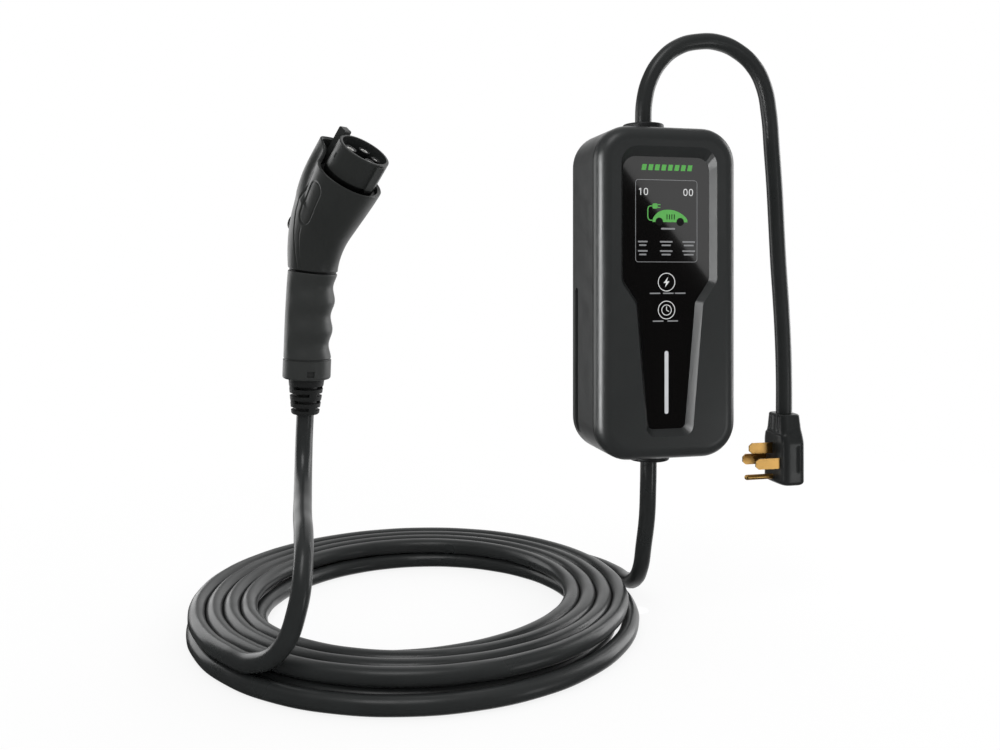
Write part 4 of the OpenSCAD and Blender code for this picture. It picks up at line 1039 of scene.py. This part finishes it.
class CHARGER_OT_set_stage(bpy.types.Operator):
    """Sets the camera, the pale floor, the soft lamps and the white surroundings"""

    bl_idname = "charger.set_stage"
    bl_label = "Set the stage"

    def execute(self, context):
        stage = context.scene.charger_stage
        scene = context.scene
        scene.view_settings.view_transform = "Standard"

        camera = put("photo_camera", bpy.data.cameras.new("photo_camera"))
        camera.location = stage.camera_place
        camera.rotation_euler = (math.radians(90), 0.0, -stage.camera_turn)
        camera.data.sensor_fit = "HORIZONTAL"
        camera.data.sensor_width = SENSOR_WIDTH
        camera.data.lens = stage.lens
        camera.data.shift_y = stage.shift
        camera.data.clip_start = 0.01
        scene.camera = camera

        self.lay_floor(stage)
        self.light_world(scene)
        self.hang_cards()
        soft_lamp("key lamp", place=(-0.8, -1.2, 2.0), aim=(-0.1, 0.0, -0.1), sides=(1.0, 1.0), power=9.0)
        soft_lamp("right lamp", place=(1.5, 0.45, 0.3), aim=(-0.2, 0.0, 0.0), sides=(1.0, 1.5), power=13.0)
        return {"FINISHED"}

    def hang_cards(self):
        """Pale cards for reflections alone: the slanting glare in the panel, the light edge of the panel's
        recess, the light edge of the connector and the shine of the prongs."""
        front = -0.83
        top = [(0.3, front, 0.226), (0.44, front, 0.226)]
        slant = [(0.235, front, 0.226), (0.44, front, -0.025)]
        edge = upright((-0.2, -0.135), (-0.2, -0.075), -0.16, 0.16)
        back = upright((-0.85, 0.35), (-0.48, 0.62), -0.28, 0.4)
        prong = upright((0.47, front), (0.85, front), -0.6, -0.2)
        reflector("glare_card", [slant, top], outward=(0, 1, 0), strength=1.0)
        reflector("edge_card", edge, outward=(1, 0, 0), strength=15.0)
        reflector("back_card", back, outward=(1, -1, 0), strength=2.0)
        reflector("prong_card", prong, outward=(0, 1, 0), strength=2.4)

    def lay_floor(self, stage):
        """Round floor on a grid of radius and angle, which fades into the white surroundings."""
        reach, white_share, fade_start, fade_end = 6.0, 0.86, 0.5, 0.9
        radius, around = np.linspace(0.01, reach, 40)[:, None], circle(96)[None, :]
        level = CAD_BOX[0].z - 0.2 * MM
        x, y = radius * np.cos(around), radius * np.sin(around)
        grid = np.stack([x, y, 0 * x + level], axis=-1)
        mesh = mesh_of("floor", [(grid, True, False, False)], outward=(0, 0, 1))
        floor = put("floor", mesh)
        made = Finish("pale floor", stage.floor_colour, 0.9)
        made.feed({"Specular IOR Level": 0.0})
        distance = made.add("VectorMath", {0: made.place}, operation="LENGTH").outputs["Value"]
        seen = made.add("LightPath").outputs["Is Camera Ray"]
        share = made.math("MULTIPLY", made.ramp(distance, white_share, 1.0, fade_start, fade_end), seen)
        white = made.add("Emission").outputs["Emission"]
        plain = made.shader.outputs["BSDF"]
        made.show(made.add("MixShader", {"Fac": share, 1: plain, 2: white}).outputs["Shader"])
        mesh.materials.append(made.material)
        floor.visible_glossy = False

    def light_world(self, scene):
        """White surroundings for the camera, a studio for reflections and soft ambient light.

        The studio is white behind the object and to its right, dark in front, and a little lit from above."""
        ambient_strength = 0.8
        world = bpy.data.worlds.new("studio")
        world.use_nodes = True
        scene.world = world
        made = NodeTree(world.node_tree)
        rays = made.add("LightPath").outputs
        direction = made.add("TexCoord").outputs["Generated"]
        towards = made.add("SeparateXYZ", {"Vector": direction}).outputs
        backwards = made.ramp(towards["Y"], 0.04, 0.95, 0.15, 0.7)
        rightwards = made.ramp(towards["X"], 0.06, 1.0, -0.25, 0.2)
        upwards = made.ramp(towards["Z"], 0.0, 0.25, 0.5, 1.0)
        studio = made.math("ADD", made.math("MULTIPLY", backwards, rightwards), upwards)
        seen = made.math("ADD", rays["Is Camera Ray"], rays["Is Transmission Ray"])
        mirrored = made.math("MULTIPLY", rays["Is Glossy Ray"], studio)
        ambient = made.math("MULTIPLY", rays["Is Diffuse Ray"], ambient_strength)
        strength = made.math("ADD", made.math("ADD", seen, mirrored), ambient)
        made.fill(made.tree.nodes["Background"], {"Color": (1.0, 1.0, 1.0, 1.0), "Strength": strength})


class CHARGER_PT_panel(bpy.types.Panel):
    """Lists the charger's settings and the steps that dress it"""

    bl_idname = "CHARGER_PT_panel"
    bl_label = "Portable car charger"
    bl_space_type = "VIEW_3D"
    bl_region_type = "UI"
    bl_category = "Charger"

    def draw(self, context):
        for operator in OPERATORS:
            self.layout.operator(operator.bl_idname)
        for name in SETTINGS:
            group = getattr(context.scene, name)
            column = self.layout.box().column()
            for key in group.__annotations__:
                column.prop(group, key)


SETTINGS = {
    "charger_cable": CableSettings,
    "charger_box": BoxSettings,
    "charger_connector": ConnectorSettings,
    "charger_plug": PlugSettings,
    "charger_stage": StageSettings,
}
OPERATORS = (
    CHARGER_OT_set_stage,
    CHARGER_OT_form_plug,
    CHARGER_OT_lay_cables,
    CHARGER_OT_dress_box,
    CHARGER_OT_dress_electronics,
    CHARGER_OT_form_connector,
)


def register():
    """Registers the settings, operators and panel."""
    for name, group in SETTINGS.items():
        bpy.utils.register_class(group)
        setattr(bpy.types.Scene, name, bpy.props.PointerProperty(type=group))
    for operator in OPERATORS:
        bpy.utils.register_class(operator)
    bpy.utils.register_class(CHARGER_PT_panel)


def unregister():
    """Removes what register added."""
    bpy.utils.unregister_class(CHARGER_PT_panel)
    for operator in reversed(OPERATORS):
        bpy.utils.unregister_class(operator)
    for name, group in SETTINGS.items():
        delattr(bpy.types.Scene, name)
        bpy.utils.unregister_class(group)


def main():
    """Runs every step in order."""
    register()
    bpy.ops.charger.set_stage()
    bpy.ops.charger.form_plug()
    bpy.ops.charger.lay_cables()
    bpy.ops.charger.dress_box()
    bpy.ops.charger.dress_electronics()
    bpy.ops.charger.form_connector()


if __name__ == "__main__":
    main()
